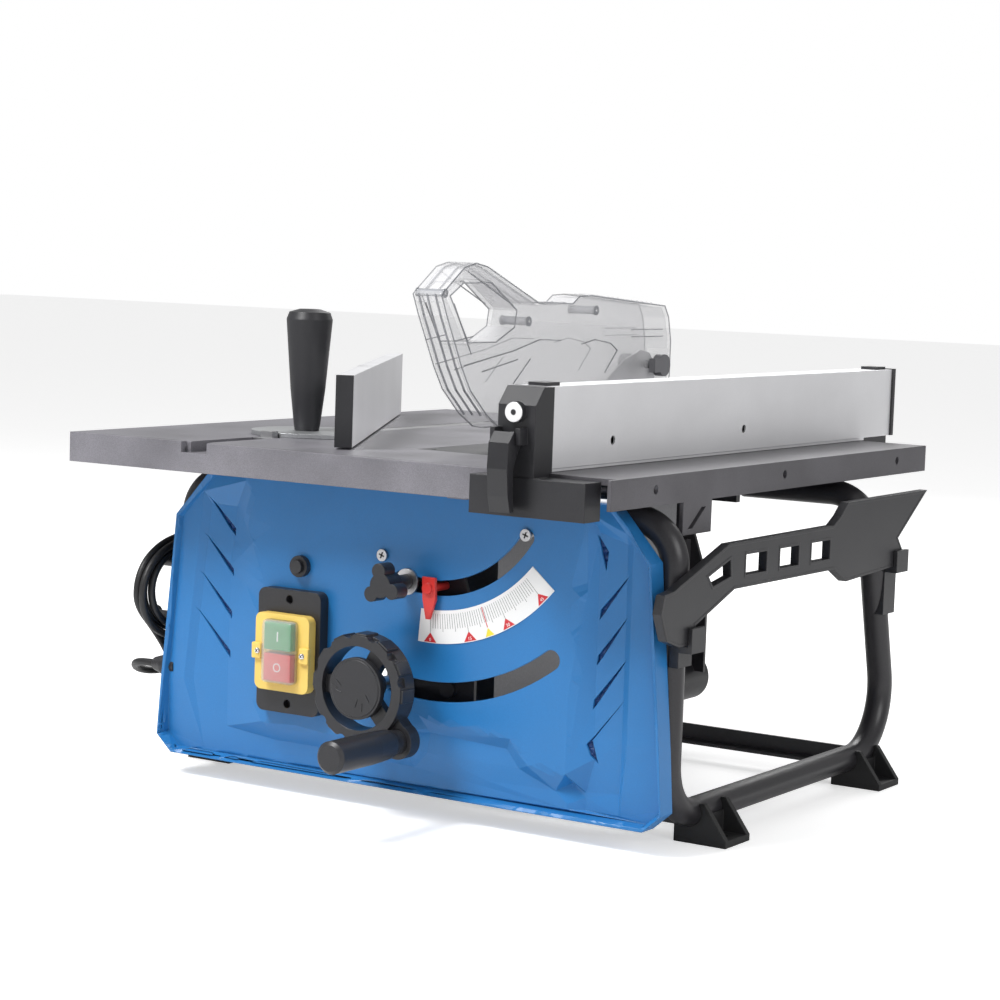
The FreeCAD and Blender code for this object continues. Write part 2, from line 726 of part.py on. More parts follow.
def swing_frame():
    """Front and back plates with arc shoes that run in the trunnions, tied by two beams."""
    bx = S.blade_x
    y0, y1 = S.swing_front, S.swing_back
    t = S.swing_thick
    outline = [(-45, -38), (16, -38), (16, -100), (34, -150), (34, -246), (-62, -246), (-62, -150), (-45, -100)]
    outline = [(bx + px, pz) for px, pz in outline]
    front = plate_xz(outline, y0, t)
    back = plate_xz(outline, y1, t)
    fit = 0.06
    shoe_front = arc_band(S.trunnion_in + fit, S.trunnion_out - fit, -25, 15, y0 + t, 12)
    shoe_back = arc_band(S.trunnion_in + fit, S.trunnion_out - fit, -25, 15, y1 - 12, 12)
    right = brick(bx + S.shroud_half, bx + S.shroud_half + 8, y0 + t, y1, -176, -152)
    left = brick(bx - S.shroud_half - 12, bx - S.shroud_half, y0 + t, y1, -246, -228)
    shaft = rod(at(S.wheel_x, y0 - 1, S.wheel_z), Y, 6.0 + S.running, t + 2)
    port = rod(at(bx, y1 - 1, -S.port_drop), Y, S.port_radius + 1, t + 2)
    stud = rod(swing(S.upper_slot_radius, -13, y0 - 1), Y, 4.0, t + 2)
    post = rod(swing(S.upper_slot_radius, 0, y0 - 1), Y, 4.0, t + 2)
    body = front.fuse([back, shoe_front, shoe_back, right, left]).cut([shaft, port, stud, post])
    head = rod(swing(S.lower_slot_radius, 2, y0 - 5), Y, 8.0, 5)
    return made("swing_frame", body.fuse(head).removeSplitter())


def blade_shroud():
    """Open-topped box round the blade, with slots in its left wall for the lifting carriage."""
    bx, half, wall = S.blade_x, S.shroud_half, S.shroud_wall
    outer = brick(bx - half, bx + half, S.shroud_front, S.shroud_back, S.shroud_low, -14)
    inner = brick(bx - half + wall, bx + half - wall, S.shroud_front + wall, S.shroud_back - wall,
                  S.shroud_low + wall, 1)
    right_top = brick(bx - half + wall, bx + half + 1, S.shroud_front - 1, S.shroud_back + 1, -54, 1)
    arbor_slot = brick(bx - half - 1, bx - half + wall + 1, S.blade_y - 26, S.blade_y + 26, -160, 1)
    knife_slot = brick(bx - half - 1, bx - half + wall + 1, S.rod_back + 17, S.rod_back + 49, -150, 1)
    port = rod(at(bx, S.shroud_back - wall - 1, -S.port_drop), Y, S.port_radius - S.port_wall + 0.5, wall + 2)
    return made("blade_shroud", outer.cut([inner, right_top, arbor_slot, knife_slot, port]))


def dust_port():
    start = at(S.blade_x, S.shroud_back, -S.port_drop)
    outside = bar("port_outside", start, Y, "port_radius", "port_end - shroud_back")
    inside = bar("port_inside", start, Y, "port_radius - port_wall", "port_end - shroud_back + 1")
    return node("dust_port", cut("dust_port", outside, inside))


def lift_guides():
    """Two guide rods with their brackets on the shroud, and the bearings of the screw and the shaft."""
    x0, x1 = S.lift_x - 14, S.blade_x - S.shroud_half
    rods = []
    brackets = []
    for y, near in ((S.rod_front, S.screw_y), (S.rod_back, S.rod_back)):
        low = brick(x0, x1, y - 15, max(near, y) + 15, -190, -180)
        high = brick(x0, x1, y - 15, max(near, y) + 13, -25, -15)
        shape = rod(at(S.lift_x, y, -190), Z, S.rod_radius, 175)
        brackets += [low.cut(shape), high.cut(shape)]
        rods.append(shape)
    journal = rod(at(S.lift_x, S.screw_y, -200), Z, S.screw_radius + S.running, 30)
    tip = rod(at(S.lift_x, S.screw_y, -60), Z, 4.0 + S.running, 60)
    brackets = [piece.cut([journal, tip]) for piece in brackets]
    seat = brick(x0, x1, S.screw_y - 29, S.screw_y - 19, -222, -194)
    seat = seat.cut(rod(at(S.wheel_x, S.screw_y - 40, S.wheel_z), Y, 6.0 + S.running, 30))
    return made("lift_guides", *(rods + brackets + [seat]))


def tilt_pointer():
    """Post through the upper slot, the red pointer and its screw head."""
    post = rod(swing(S.upper_slot_radius, 0, S.panel_front - 3.5), Y, 4.0, S.swing_front + 3.5 - S.panel_front + 2)
    bx = S.blade_x
    leaf_points = [(bx - 7, -108), (bx + 7, -108), (bx + 8, -128), (bx + 2, -146), (bx - 2, -146), (bx - 6, -128)]
    leaf = plate_xz(leaf_points, S.panel_front - 6.5, 3)
    head = rod(swing(S.upper_slot_radius, 0, S.panel_front - 9.5), Y, 5.0, 3)
    return made("tilt_pointer", post.fuse([leaf, head]).removeSplitter())


def lock_stud():
    """Stud from the swing frame through the upper slot, with its washer in front of the panel."""
    y = S.panel_front - 40
    stud = rod(swing(S.upper_slot_radius, -13, y), Y, 4.0, S.swing_front + 2 - y)
    washer = pipe(swing(S.upper_slot_radius, -13, S.panel_front - S.loose - 2.5), Y, 12.0, 4.0, 2.5)
    return made("lock_stud", stud, washer)


def lock_knob():
    """Three-lobed knob threaded on the stud."""
    centre = swing(S.upper_slot_radius, -13, S.panel_front - 44)
    hub = rod(centre, Y, 11.0, 20)
    neck = rod(centre + Y * 20, Y, 7.0, 44 - 20 - S.loose - 3.2)
    lobes = []
    for step in range(3):
        turn = math.radians(100 + 120 * step)
        offset = FreeCAD.Vector(math.cos(turn), 0, math.sin(turn))
        lobes.append(rod(centre + offset * 13, Y, 7.0, 16))
    bore = rod(centre + Y * 3, Y, 4.0 + S.running, 60)
    return made("lock_knob", hub.fuse([neck] + lobes).cut(bore).removeSplitter())


swing_frame()
blade_shroud()
dust_port()
lift_guides()
tilt_pointer()
lock_stud()
lock_knob()


# ---------------------------------------------------------------- lifting carriage

ARBOR_Z = -S.blade_drop
MOTOR_Y = S.blade_y + S.motor_dy
MOTOR_Z = ARBOR_Z - S.motor_drop
CASE_LEFT = S.blade_x - 58.0
CASE_RIGHT = S.blade_x - 30.0
ARM_BACK = S.rod_back + 47.0


def belt_loop(x, thick, big, small):
    """A plate round both pulley axes: two discs and their common tangents."""
    first = (S.blade_y, ARBOR_Z, big)
    second = (MOTOR_Y, MOTOR_Z, small)
    dy, dz = second[0] - first[0], second[1] - first[1]
    span = math.hypot(dy, dz)
    along = math.atan2(dz, dy)
    lean = math.acos((big - small) / span)
    points = []
    for cy, cz, radius, sign in (first + (1,), second + (1,), second + (-1,), first + (-1,)):
        turn = along + sign * lean
        points.append((cy + radius * math.cos(turn), cz + radius * math.sin(turn)))
    body = plate_yz(points, x, thick)
    return body.fuse([rod(at(x, cy, cz), X, radius, thick) for cy, cz, radius in (first, second)]).removeSplitter()


def lift_carriage():
    """Casting: belt case, arbor neck, two sleeves on the guide rods, the nut seat and the knife arm."""
    wide = CASE_RIGHT - CASE_LEFT
    shell_big = S.pulley_big + S.belt_thick + 5
    shell_small = S.pulley_small + S.belt_thick + 7
    case = belt_loop(CASE_LEFT, wide, shell_big, shell_small)
    sleeves = [rod(at(S.lift_x, y, ARBOR_Z - 32), Z, 12.0, 54) for y in (S.rod_front, S.rod_back)]
    web = brick(CASE_LEFT, CASE_RIGHT, S.rod_front + 5, S.blade_y - 25, ARBOR_Z - 12, ARBOR_Z + 12)
    arm_root = brick(CASE_LEFT + 4, CASE_RIGHT, S.rod_back + 6, ARM_BACK, ARBOR_Z - 12, ARBOR_Z + 12)
    arm = brick(CASE_RIGHT, S.blade_x - 1.1, S.blade_y + S.blade_radius + 2, ARM_BACK, ARBOR_Z - 12, ARBOR_Z + 12)
    link = brick(CASE_LEFT + 4, CASE_RIGHT, MOTOR_Y, S.rod_back + 6, ARBOR_Z - 24, ARBOR_Z - 2)
    neck = rod(at(CASE_RIGHT, S.blade_y, ARBOR_Z), X, 22.0, 18)
    body = case.fuse(sleeves + [web, arm_root, arm, link, neck])
    room = belt_loop(CASE_LEFT - 1, wide - 2, shell_big - 3, shell_small - 3.5)
    bores = [rod(at(S.lift_x, y, ARBOR_Z - 40), Z, S.rod_radius + S.running, 80) for y in (S.rod_front, S.rod_back)]
    nut_hole = rod(at(S.lift_x, S.screw_y, ARBOR_Z - 20), Z, 10.0, 40)
    arbor_hole = rod(at(CASE_LEFT, S.blade_y, ARBOR_Z), X, S.arbor_radius + S.running, 60)
    return made("lift_carriage", body.cut([room] + bores + [nut_hole, arbor_hole]).removeSplitter())


def lift_nut():
    outside = bar("nut_outside", at(S.lift_x, S.screw_y, ARBOR_Z - 12), Z, "10", "24")
    inside = bar("nut_inside", at(S.lift_x, S.screw_y, ARBOR_Z - 13), Z, "screw_radius + running", "26")
    return node("lift_nut", cut("lift_nut", outside, inside))


def motor():
    """Housing with its mounting plate and stator ring, and the end cap."""
    left = CASE_LEFT - 3 - S.motor_long
    cover = belt_loop(CASE_LEFT - 3, 3, S.pulley_big + S.belt_thick + 5, S.pulley_small + S.belt_thick + 7)
    shell = pipe(at(left, MOTOR_Y, MOTOR_Z), X, S.motor_radius, S.motor_radius - 3, S.motor_long)
    front = pipe(at(CASE_LEFT - 7, MOTOR_Y, MOTOR_Z), X, S.motor_radius, 5.0 + S.running, 4)
    cover = cover.cut(rod(at(CASE_LEFT - 10, MOTOR_Y, MOTOR_Z), X, 5.0 + S.running, 20))
    ribs = []
    for step in range(12):
        rib = brick(left + 12, CASE_LEFT - 12, MOTOR_Y - 1.5, MOTOR_Y + 1.5, MOTOR_Z + S.motor_radius - 1,
                    MOTOR_Z + S.motor_radius + 2)
        rib.rotate(at(0, MOTOR_Y, MOTOR_Z), X, 30 * step)
        ribs.append(rib)
    housing = shell.fuse([front, cover] + ribs)
    stator = pipe(at(left + 32, MOTOR_Y, MOTOR_Z), X, S.motor_radius - 3, 26.0, S.motor_long - 64)
    made("motor_housing", housing.removeSplitter(), stator)
    cap = spun([(5 + S.running, 0), (S.motor_radius, 0), (S.motor_radius, 10), (S.motor_radius - 9, 22),
                (14, 22), (14, 6), (5 + S.running, 6)], at(left, MOTOR_Y, MOTOR_Z), X * -1)
    slots = []
    for step in range(8):
        slot = brick(left - 30, left - 4, MOTOR_Y + 20, MOTOR_Y + 34, MOTOR_Z - 2.5, MOTOR_Z + 2.5)
        slot.rotate(at(0, MOTOR_Y, MOTOR_Z), X, 45 * step)
        slots.append(slot)
    made("motor_end_cap", cap.cut(slots))


def motor_rotor():
    """Shaft, armature, fan and the small pulley on one turning piece."""
    left = CASE_LEFT - 3 - S.motor_long
    shaft = rod(at(left - 5, MOTOR_Y, MOTOR_Z), X, 5.0, S.motor_long + 30)
    armature = rod(at(left + 36, MOTOR_Y, MOTOR_Z), X, 25.0, S.motor_long - 72)
    commutator = rod(at(left + 18, MOTOR_Y, MOTOR_Z), X, 14.0, 14)
    fan_x = CASE_LEFT - 24
    fan = [rod(at(fan_x, MOTOR_Y, MOTOR_Z), X, 12.0, 10), rod(at(fan_x, MOTOR_Y, MOTOR_Z), X, 38.0, 1.5)]
    for step in range(9):
        blade = brick(fan_x, fan_x + 9, MOTOR_Y + 10, MOTOR_Y + 38, MOTOR_Z - 1, MOTOR_Z + 1)
        blade.rotate(at(0, MOTOR_Y, MOTOR_Z), X, 40 * step)
        fan.append(blade)
    pulley = rod(at(CASE_LEFT + 8, MOTOR_Y, MOTOR_Z), X, S.pulley_small, 12)
    return made("motor_rotor", shaft.fuse([armature, commutator, pulley] + fan).removeSplitter())


def drive_belt():
    """Ribbed belt, one closed loop with a small running gap to both pulleys."""
    x = CASE_LEFT + 8
    big = S.pulley_big + S.loose
    small = S.pulley_small + S.loose
    outer = belt_loop(x, 11, big + S.belt_thick, small + S.belt_thick)
    return made("drive_belt", outer.cut(belt_loop(x - 1, 13, big, small)))


def blade_set():
    """Saw blade, arbor with inner flange, outer flange with nut, and the large pulley."""
    bx, y, z = S.blade_x, S.blade_y, ARBOR_Z
    teeth = 24
    body = rod(at(bx - S.blade_body / 2, y, z), X, S.blade_radius - 8, S.blade_body)
    tooth_parts = []
    root, tip = S.blade_radius - 9, S.blade_radius
    for step in range(teeth):
        tooth_parts.append(tooth(2 * math.pi * step / teeth, root, tip, 2 * math.pi / teeth))
    blade = body.fuse(tooth_parts).cut(rod(at(bx - 5, y, z), X, S.blade_bore, 10))
    for step in range(4):
        turn = math.radians(90 * step + 20)
        gap = rod(at(bx - 5, y + 92 * math.cos(turn), z + 92 * math.sin(turn)), X, 5.0, 10)
        blade = blade.cut(gap)
    made("saw_blade", blade)
    shaft = rod(at(CASE_LEFT + 4, y, z), X, S.arbor_radius, bx + 22 - CASE_LEFT - 4)
    flange = rod(at(bx - 9, y, z), X, 24.0, 9 - S.blade_body / 2)
    seat = rod(at(bx - S.blade_body / 2, y, z), X, S.blade_bore - S.running, S.blade_body)
    made("arbor_shaft", shaft.fuse([flange, seat]).removeSplitter())
    nut_start = at(bx + S.blade_body / 2, y, z)
    flange = pipe(nut_start, X, 24.0, S.arbor_radius, 5)
    corner = [at(bx + S.blade_body / 2 + 5, y + 13 * math.cos(math.radians(60 * k)),
                 z + 13 * math.sin(math.radians(60 * k))) for k in range(6)]
    nut = Part.Face(Part.makePolygon(corner + corner[:1])).extrude(X * 10)
    nut = nut.cut(rod(nut_start, X, S.arbor_radius, 30))
    made("flange_and_nut", flange, nut)
    made("arbor_pulley", pipe(at(CASE_LEFT + 8, y, z), X, S.pulley_big, S.arbor_radius, 12))


def tooth(turn, root, tip, pitch):
    """One carbide tooth: a raked wedge a little wider than the blade body."""
    points = []
    for radius, ahead in ((root - 2, -0.40), (root, 0.05), (tip, 0.0), (tip - 0.8, -0.16), (root + 1.5, -0.36)):
        angle = turn + ahead * pitch
        points.append((S.blade_y + radius * math.cos(angle), ARBOR_Z + radius * math.sin(angle)))
    return plate_yz(points, S.blade_x - S.blade_kerf / 2, S.blade_kerf)


def riving_knife():
    """Curved plate behind the blade, its top running forward to carry the guard, and its clamp."""
    cy, cz = S.blade_y, ARBOR_Z
    inner = S.blade_radius + 5
    edge = [(132, -14)]
    for angle in (0, 15, 30, 45):
        turn = math.radians(angle)
        edge.append((inner * math.cos(turn), inner * math.sin(turn)))
    edge += [(96, 130), (84, 168), (62, 178), (66, 188), (106, 212), (137, 221), (155, 218), (165, 208),
             (167, 194), (163, 170), (160, 100), (158, 30), (152, -14)]
    points = [(cy + py, cz + pz) for py, pz in edge]
    plate = plate_yz(points, S.blade_x - 1.1, 2.2)
    pivot = rod(at(S.blade_x - 5, S.guard_pivot_y, S.guard_pivot_z), X, 4.0, 10)
    plate = plate.cut(pivot)
    clamp = brick(S.blade_x + 1.1, S.blade_x + 7.1, S.rod_back + 34, S.rod_back + 50, ARBOR_Z - 12, ARBOR_Z + 12)
    bolt = rod(at(S.blade_x + 7.1, S.rod_back + 42, ARBOR_Z), X, 5.0, 5)
    return made("riving_knife", plate, clamp.fuse(bolt))


lift_carriage()
lift_nut()
motor()
motor_rotor()
drive_belt()
blade_set()
riving_knife()


# ---------------------------------------------------------------- handwheel and screw

BEVEL_BIG = 13.0
BEVEL_SMALL = 7.0
BEVEL_SHIFT = 0.25
WHEEL = at(S.wheel_x, S.wheel_front, S.wheel_z)
GRIP_TURN = math.radians(S.grip_angle)
GRIP_AXIS = WHEEL + FreeCAD.Vector(math.cos(GRIP_TURN), 0, math.sin(GRIP_TURN)) * S.grip_offset


def handwheel():
    """Rim with grip recesses, three spokes, a hub disc and the crank lobe."""
    rim = pipe(WHEEL + Y * 2, Y, S.wheel_radius, S.wheel_radius - 10, S.wheel_deep - 6)
    hub = rod(WHEEL, Y, 28.0, 6).fuse(rod(WHEEL + Y * 6, Y, 12.0, S.wheel_deep - 2))
    spokes = []
    for degrees in (180, 60, -47):
        spoke = Part.makeBox(S.wheel_radius - 12, 8, 17, WHEEL + FreeCAD.Vector(8, 8, -8.5))
        spoke.rotate(WHEEL, Y, -degrees)
        spokes.append(spoke)
    lobe = rod(GRIP_AXIS + Y * 8, Y, 16.0, 14)
    arm = Part.makeBox(S.grip_offset, 14, 30, WHEEL + FreeCAD.Vector(0, 8, -15))
    arm.rotate(WHEEL, Y, -S.grip_angle)
    arm = arm.cut(rod(WHEEL, Y, S.wheel_radius - 4, 60))
    body = rim.fuse([hub, lobe, arm] + spokes)
    dents = []
    for step in range(10):
        turn = math.radians(12 + 30 * step)
        offset = FreeCAD.Vector(math.cos(turn), 0, math.sin(turn)) * (S.wheel_radius + 3)
        dents.append(rod(WHEEL + offset + Y * 1, Y, 5.5, 9))
    shaft = rod(WHEEL + Y * 3, Y, 6.0, 60)
    pin = rod(GRIP_AXIS + Y * 10, Y * -1, 4.0, 56)
    return made("handwheel", body.cut(dents + [shaft]).fuse(pin).removeSplitter())


def handwheel_shaft():
    """Shaft from the wheel to the bevel on the lift screw."""
    end = S.screw_y - BEVEL_BIG - BEVEL_SHIFT
    shaft = rod(WHEEL + Y * 3, Y, 6.0, end - S.wheel_front - 3)
    collar = rod(at(S.wheel_x, S.swing_front - 8.3, S.wheel_z), Y, 9.0, 8)
    bevel = Part.makeCone(BEVEL_BIG, BEVEL_SMALL, BEVEL_BIG - BEVEL_SMALL, at(S.wheel_x, end, S.wheel_z), Y)
    return made("handwheel_shaft", shaft.fuse([collar, bevel]).removeSplitter())


def crank_grip():
    """Long round grip that turns on the wheel's pin."""
    bore = 4.0 + S.running
    profile = [(bore, 0), (11.4, 0), (11.4, 8), (13.5, 16), (S.grip_radius, 40), (S.grip_radius, S.grip_long - 3),
               (S.grip_radius - 3, S.grip_long), (0, S.grip_long), (0, 56), (bore, 56)]
    return turned("crank_grip", profile, GRIP_AXIS + Y * (8 - S.loose), Y * -1)


def lift_screw():
    """Vertical screw with a bevel at its foot."""
    foot_z = S.wheel_z + BEVEL_BIG + BEVEL_SHIFT
    low = rod(at(S.lift_x, S.screw_y, foot_z), Z, S.screw_radius, -30 - foot_z)
    tip = rod(at(S.lift_x, S.screw_y, -30), Z, 4.0, 16)
    bevel_z = S.wheel_z + BEVEL_SMALL + BEVEL_SHIFT
    bevel = Part.makeCone(BEVEL_SMALL, BEVEL_BIG, BEVEL_BIG - BEVEL_SMALL, at(S.lift_x, S.screw_y, bevel_z), Z)
    return made("lift_screw", low.fuse([tip, bevel]).removeSplitter())


handwheel()
handwheel_shaft()
crank_grip()
lift_screw()


# ---------------------------------------------------------------- rip fence

FENCE_LEFT = S.fence_right - S.fence_wide


def rip_fence_rail():
    """Box rail with holes in its right side, on a black glide."""
    rail = brick(FENCE_LEFT, S.fence_right, S.fence_start, S.fence_end, S.fence_low, S.fence_high)
    room = brick(FENCE_LEFT + 2, S.fence_right - 2, S.fence_start - 1, S.fence_end + 1,
                 S.fence_low + 2, S.fence_high - 2)
    holes = [rod(at(S.fence_right - 5, y, 23), X, 4.0, 10) for y in (113, 362)]
    glide = brick(FENCE_LEFT + 1, S.fence_right - 1, S.fence_start + 6, S.table_deep - 4, S.loose, S.fence_low)
    return made("rip_fence_rail", rail.cut([room] + holes), glide)


def fence_head():
    """Head over the table's front edge, its T-base, the lever's ears and pin, and an adjusting nut."""
    left, right = FENCE_LEFT - 2, S.fence_right + 5
    side_points = [(-25, -10), (-25, 58), (-12, S.fence_high), (S.fence_start, S.fence_high),
                   (S.fence_start, S.loose), (-S.loose, S.loose), (-S.loose, -10)]
    head = plate_yz(side_points, left, right - left)
    base = brick(FENCE_LEFT - 28, S.fence_right + 56, -26, -S.loose, -36, -3)
    ears = [brick(x0, x0 + 4.5, -37, -25, 25, 39) for x0 in (left, LEVER_RIGHT + S.loose)]
    pin = rod(at(left, *LEVER_PIVOT), X, 3.0, LEVER_RIGHT + S.loose + 4.5 - left)
    body = head.fuse([base, pin] + ears).removeSplitter()
    nut = rod(at(left + 19, -31, 52), Y, 9.0, 6)
    tab = brick(left + 8, left + 26, S.fence_start + 4, S.fence_start + 26, S.fence_high, S.fence_high + 3)
    return made("fence_head", body, nut, tab)


def fence_lever():
    """Flat curved lever that hangs in front of the head."""
    points = [(-28.5, 35), (-38, 36), (-46, 27), (-47.5, 5), (-45, -18), (-41, -32), (-35, -31), (-37.5, -15),
              (-38, 3), (-33, 16), (-27.5, 24)]
    lever = plate_yz(points, LEVER_LEFT, LEVER_RIGHT - LEVER_LEFT)
    return made("fence_lever", lever.cut(rod(at(LEVER_LEFT - 5, *LEVER_PIVOT), X, 3.0 + S.running, 60)))


def fence_clamp_rear():
    """Cap on the rail's far end and the hook behind the table."""
    cap = brick(FENCE_LEFT - 2, S.fence_right + 2, S.fence_end, S.fence_end + 6, S.fence_low, S.fence_high + 1)
    hook = brick(FENCE_LEFT + 6, S.fence_right - 6, S.table_deep + 1.5, S.fence_end + 6, -22, S.fence_low)
    tab = brick(FENCE_LEFT + 6, S.fence_right - 6, S.fence_end - 26, S.fence_end - 4, S.fence_high, S.fence_high + 3)
    return made("fence_clamp_rear", cap.fuse(hook).removeSplitter(), tab)


LEVER_PIVOT = (-32.0, 30.5)
LEVER_LEFT = FENCE_LEFT + 2.5 + S.loose
LEVER_RIGHT = LEVER_LEFT + 20
rip_fence_rail()
fence_head()
fence_lever()
fence_clamp_rear()


# ---------------------------------------------------------------- extension table

def extension_table():
    """Sliding side table: a plate, its outer side plate and a hanging bracket with a slanted slot."""
    x0 = S.table_wide + S.ext_gap
    x1 = x0 + S.ext_wide
    plate = brick(x0, x1, 2, S.table_deep - 12, -S.plate_thick, 0)
    side = brick(x1 - S.ext_wall, x1, S.ext_front, S.table_deep - 12, -S.ext_skirt, 0)
    rear = brick(x0, x1, S.table_deep - 16, S.table_deep - 12, -S.ext_skirt, 0)
    bracket = brick(x1 - S.ext_wall, x1, 113, 165, -55, -S.ext_skirt)
    slot = plate_yz([(122, -50), (130, -50), (154, -32), (146, -32)], x1 - S.ext_wall - 1, S.ext_wall + 2)
    holes = [rod(at(x1 - S.ext_wall - 1, y, -12), X, 4.0, S.ext_wall + 2) for y in (63, 307, 559)]
    groove = brick(x0 + 40, x0 + 42, 3, S.table_deep - 13, -0.8, 1)
    return made("extension_table", plate.fuse([side, rear, bracket]).cut([slot, groove] + holes).removeSplitter())


def guide_tubes():
    """Two bright tubes that run in the table and carry the extension."""
    end = S.table_wide + S.ext_gap + S.ext_wide - S.ext_wall
    tubes = []
    for y in (S.guide_front, S.guide_back):
        start = at(end - S.guide_long, y, -S.guide_drop)
        tubes.append(pipe(start, X, S.guide_radius, S.guide_radius - 1.5, S.guide_long))
    return made("guide_tubes", *tubes)


extension_table()
guide_tubes()


# ---------------------------------------------------------------- miter gauge

MITER = at(S.miter_slot_x, S.miter_y, 0)
MITER_PLACE = FreeCAD.Placement(MITER, FreeCAD.Rotation(Z, 90 - S.miter_turn))


def miter_bar():
    """Bar in the slot, with the pivot hole and the pointer block."""
    half = S.miter_slot_wide / 2 - S.loose
    bar_shape = brick(S.miter_slot_x - half, S.miter_slot_x + half, 100, 500, -S.miter_slot_deep + S.loose, -S.loose)
    rim = S.miter_y - S.miter_radius
    block_shape = brick(S.miter_slot_x - 7, S.miter_slot_x + 7, rim - 10, rim - 1, -S.loose, 6)
    hole = rod(at(S.miter_slot_x, S.miter_y, -20), Z, 5.0 + S.running, 30)
    return made("miter_bar", bar_shape.fuse(block_shape).cut(hole).removeSplitter())


def miter_head():
    """Half-round protractor, the upright behind the fence, the pivot pin and the handle's stud.

    The head, the fence and its cap are drawn with the fence towards +X and turned by their placement.
    """
    low, high = S.loose, S.loose + 4
    back = S.miter_face - S.miter_thick
    disc = Part.makeCylinder(S.miter_radius, 4, FreeCAD.Vector(0, 0, low), Z)
    disc = disc.common(Part.makeBox(200, 200, 20, FreeCAD.Vector(-200, -100, 0)))
    web = Part.makeBox(back, 2 * S.miter_radius, 4, FreeCAD.Vector(0, -S.miter_radius, low))
    upright = Part.makeBox(4, 84, 44, FreeCAD.Vector(back - 4, -42, low))
    pin = Part.makeCylinder(5.0, high + 8, FreeCAD.Vector(0, 0, -8), Z)
    stud = Part.makeCylinder(4.0, 60, FreeCAD.Vector(0, 0, high), Z)
    body = disc.fuse([web, upright, pin, stud]).removeSplitter()
    return made("miter_head", body, place=MITER_PLACE)


def miter_fence():
    """Long hollow fence, open at its far end."""
    back = S.miter_face - S.miter_thick
    length = S.miter_near + S.miter_far
    outer = Part.makeBox(S.miter_thick, length, 66, FreeCAD.Vector(back, -S.miter_near, 2))
    room = Part.makeBox(S.miter_thick - 4, length + 2, 62, FreeCAD.Vector(back + 2, -S.miter_near - 1, 4))
    return made("miter_fence", outer.cut(room), place=MITER_PLACE)


def miter_end_cap():
    back = S.miter_face - S.miter_thick
    cap = Part.makeBox(S.miter_thick, 4, 66, FreeCAD.Vector(back, -S.miter_near - 4, 2))
    return made("miter_end_cap", cap, place=MITER_PLACE)


def miter_handle():
    """Tall tapered handle that screws down on the protractor."""
    bore = 4.0 + S.running
    profile = [(bore, 0), (12, 0), (13, 6), (17, 40), (22.5, 108), (20, 115), (10, 118), (0, 118), (0, 66), (bore, 66)]
    return turned("miter_handle", profile, MITER + Z * (2 * S.loose + 4), Z)


miter_bar()
miter_head()
miter_fence()
miter_end_cap()
miter_handle()


# ---------------------------------------------------------------- guard

GUARD_OUTLINE = [(39, 145), (47, 151), (75, 170), (94, 174), (113, 171), (204, 138), (263, 138), (275, 145),
                 (296, 146), (443, 136), (452, 124), (458, 100), (458, 64), (443, 32), (423, 24), (158, 21),
                 (142, 23), (118, 36), (90, 59), (75, 80), (48, 127)]
GUARD_HANDLE = [(74, 155), (54, 144), (85, 103), (130, 103), (160, 116), (163, 131), (119, 156)]


def guard_outline(shrink):
    """The outline's face, drawn in by a distance."""
    wire = Part.makePolygon([at(0, py, pz) for py, pz in GUARD_OUTLINE + GUARD_OUTLINE[:1]])
    return Part.Face(wire.makeOffset2D(-shrink, 2)) if shrink else Part.Face(wire)


def blade_guard():
    """Hollow guard, open below, with a hand hole and pivot holes at its back end."""
    left = S.blade_x - S.guard_half
    wide = 2 * S.guard_half
    shell = guard_outline(0).extrude(X * wide)
    room = guard_outline(S.guard_wall).extrude(X * (wide - 2 * S.guard_wall))
    room.translate(X * S.guard_wall)
    lower_room = room.copy()
    lower_room.translate(Z * -7)
    shell = shell.cut([room, lower_room])
    shell.translate(X * left)
    handle_rim = plate_yz(GUARD_HANDLE, left, wide)
    rim_face = Part.Face(Part.makePolygon([at(left, py, pz) for py, pz in GUARD_HANDLE + GUARD_HANDLE[:1]]).makeOffset2D(3))
    rim_solid = rim_face.extrude(X * wide)
    back_gap = brick(left + S.guard_wall, left + wide - S.guard_wall, 423, 475, 15, 92)
    pivot = rod(at(left - 5, S.guard_pivot_y, S.guard_pivot_z), X, 4.0, wide + 10)
    body = shell.cut(back_gap).fuse(rim_solid).cut([handle_rim, pivot])
    return made("blade_guard", body.removeSplitter())


def guard_knob():
    """Pivot pin through the riving knife, with a knob at its left end and a cam at its right end."""
    left = S.blade_x - S.guard_half
    right = S.blade_x + S.guard_half
    y, z = S.guard_pivot_y, S.guard_pivot_z
    pin = rod(at(left - 8, y, z), X, 4.0 - S.running, 2 * S.guard_half + 16)
    knob = rod(at(left - 10, y, z), X, 10.0, 10)
    cam = rod(at(right, y, z), X, 11.0, 9).fuse(brick(right + 2, right + 9, y - 20, y, z - 7, z + 7))
    return made("guard_knob", pin.fuse([knob, cam]).removeSplitter())


blade_guard()
guard_knob()


# ---------------------------------------------------------------- push stick

STICK_OUTLINE = [(56, -96), (154, -63), (364, -62), (379, -54), (394, -42), (580, -41), (520, -81), (514, -85),
                 (538, -111), (397, -118), (369, -104), (167, -104), (97, -129), (99, -146), (69, -145), (47, -138),
                 (35, -114), (40, -98)]
STICK_WINDOWS = [
    [(118, -89), (157, -77), (159, -92), (126, -98)],
    [(187, -75), (227, -75), (227, -93), (187, -93)],
    [(254, -75), (292, -75), (292, -93), (254, -93)],
    [(319, -75), (358, -75), (358, -93), (319, -93)],
]


def push_stick():
    body = plate_yz(STICK_OUTLINE, S.stick_x, S.stick_thick)
    windows = [plate_yz(points, S.stick_x - 1, S.stick_thick + 2) for points in STICK_WINDOWS]
    return made("push_stick", body.cut(windows))


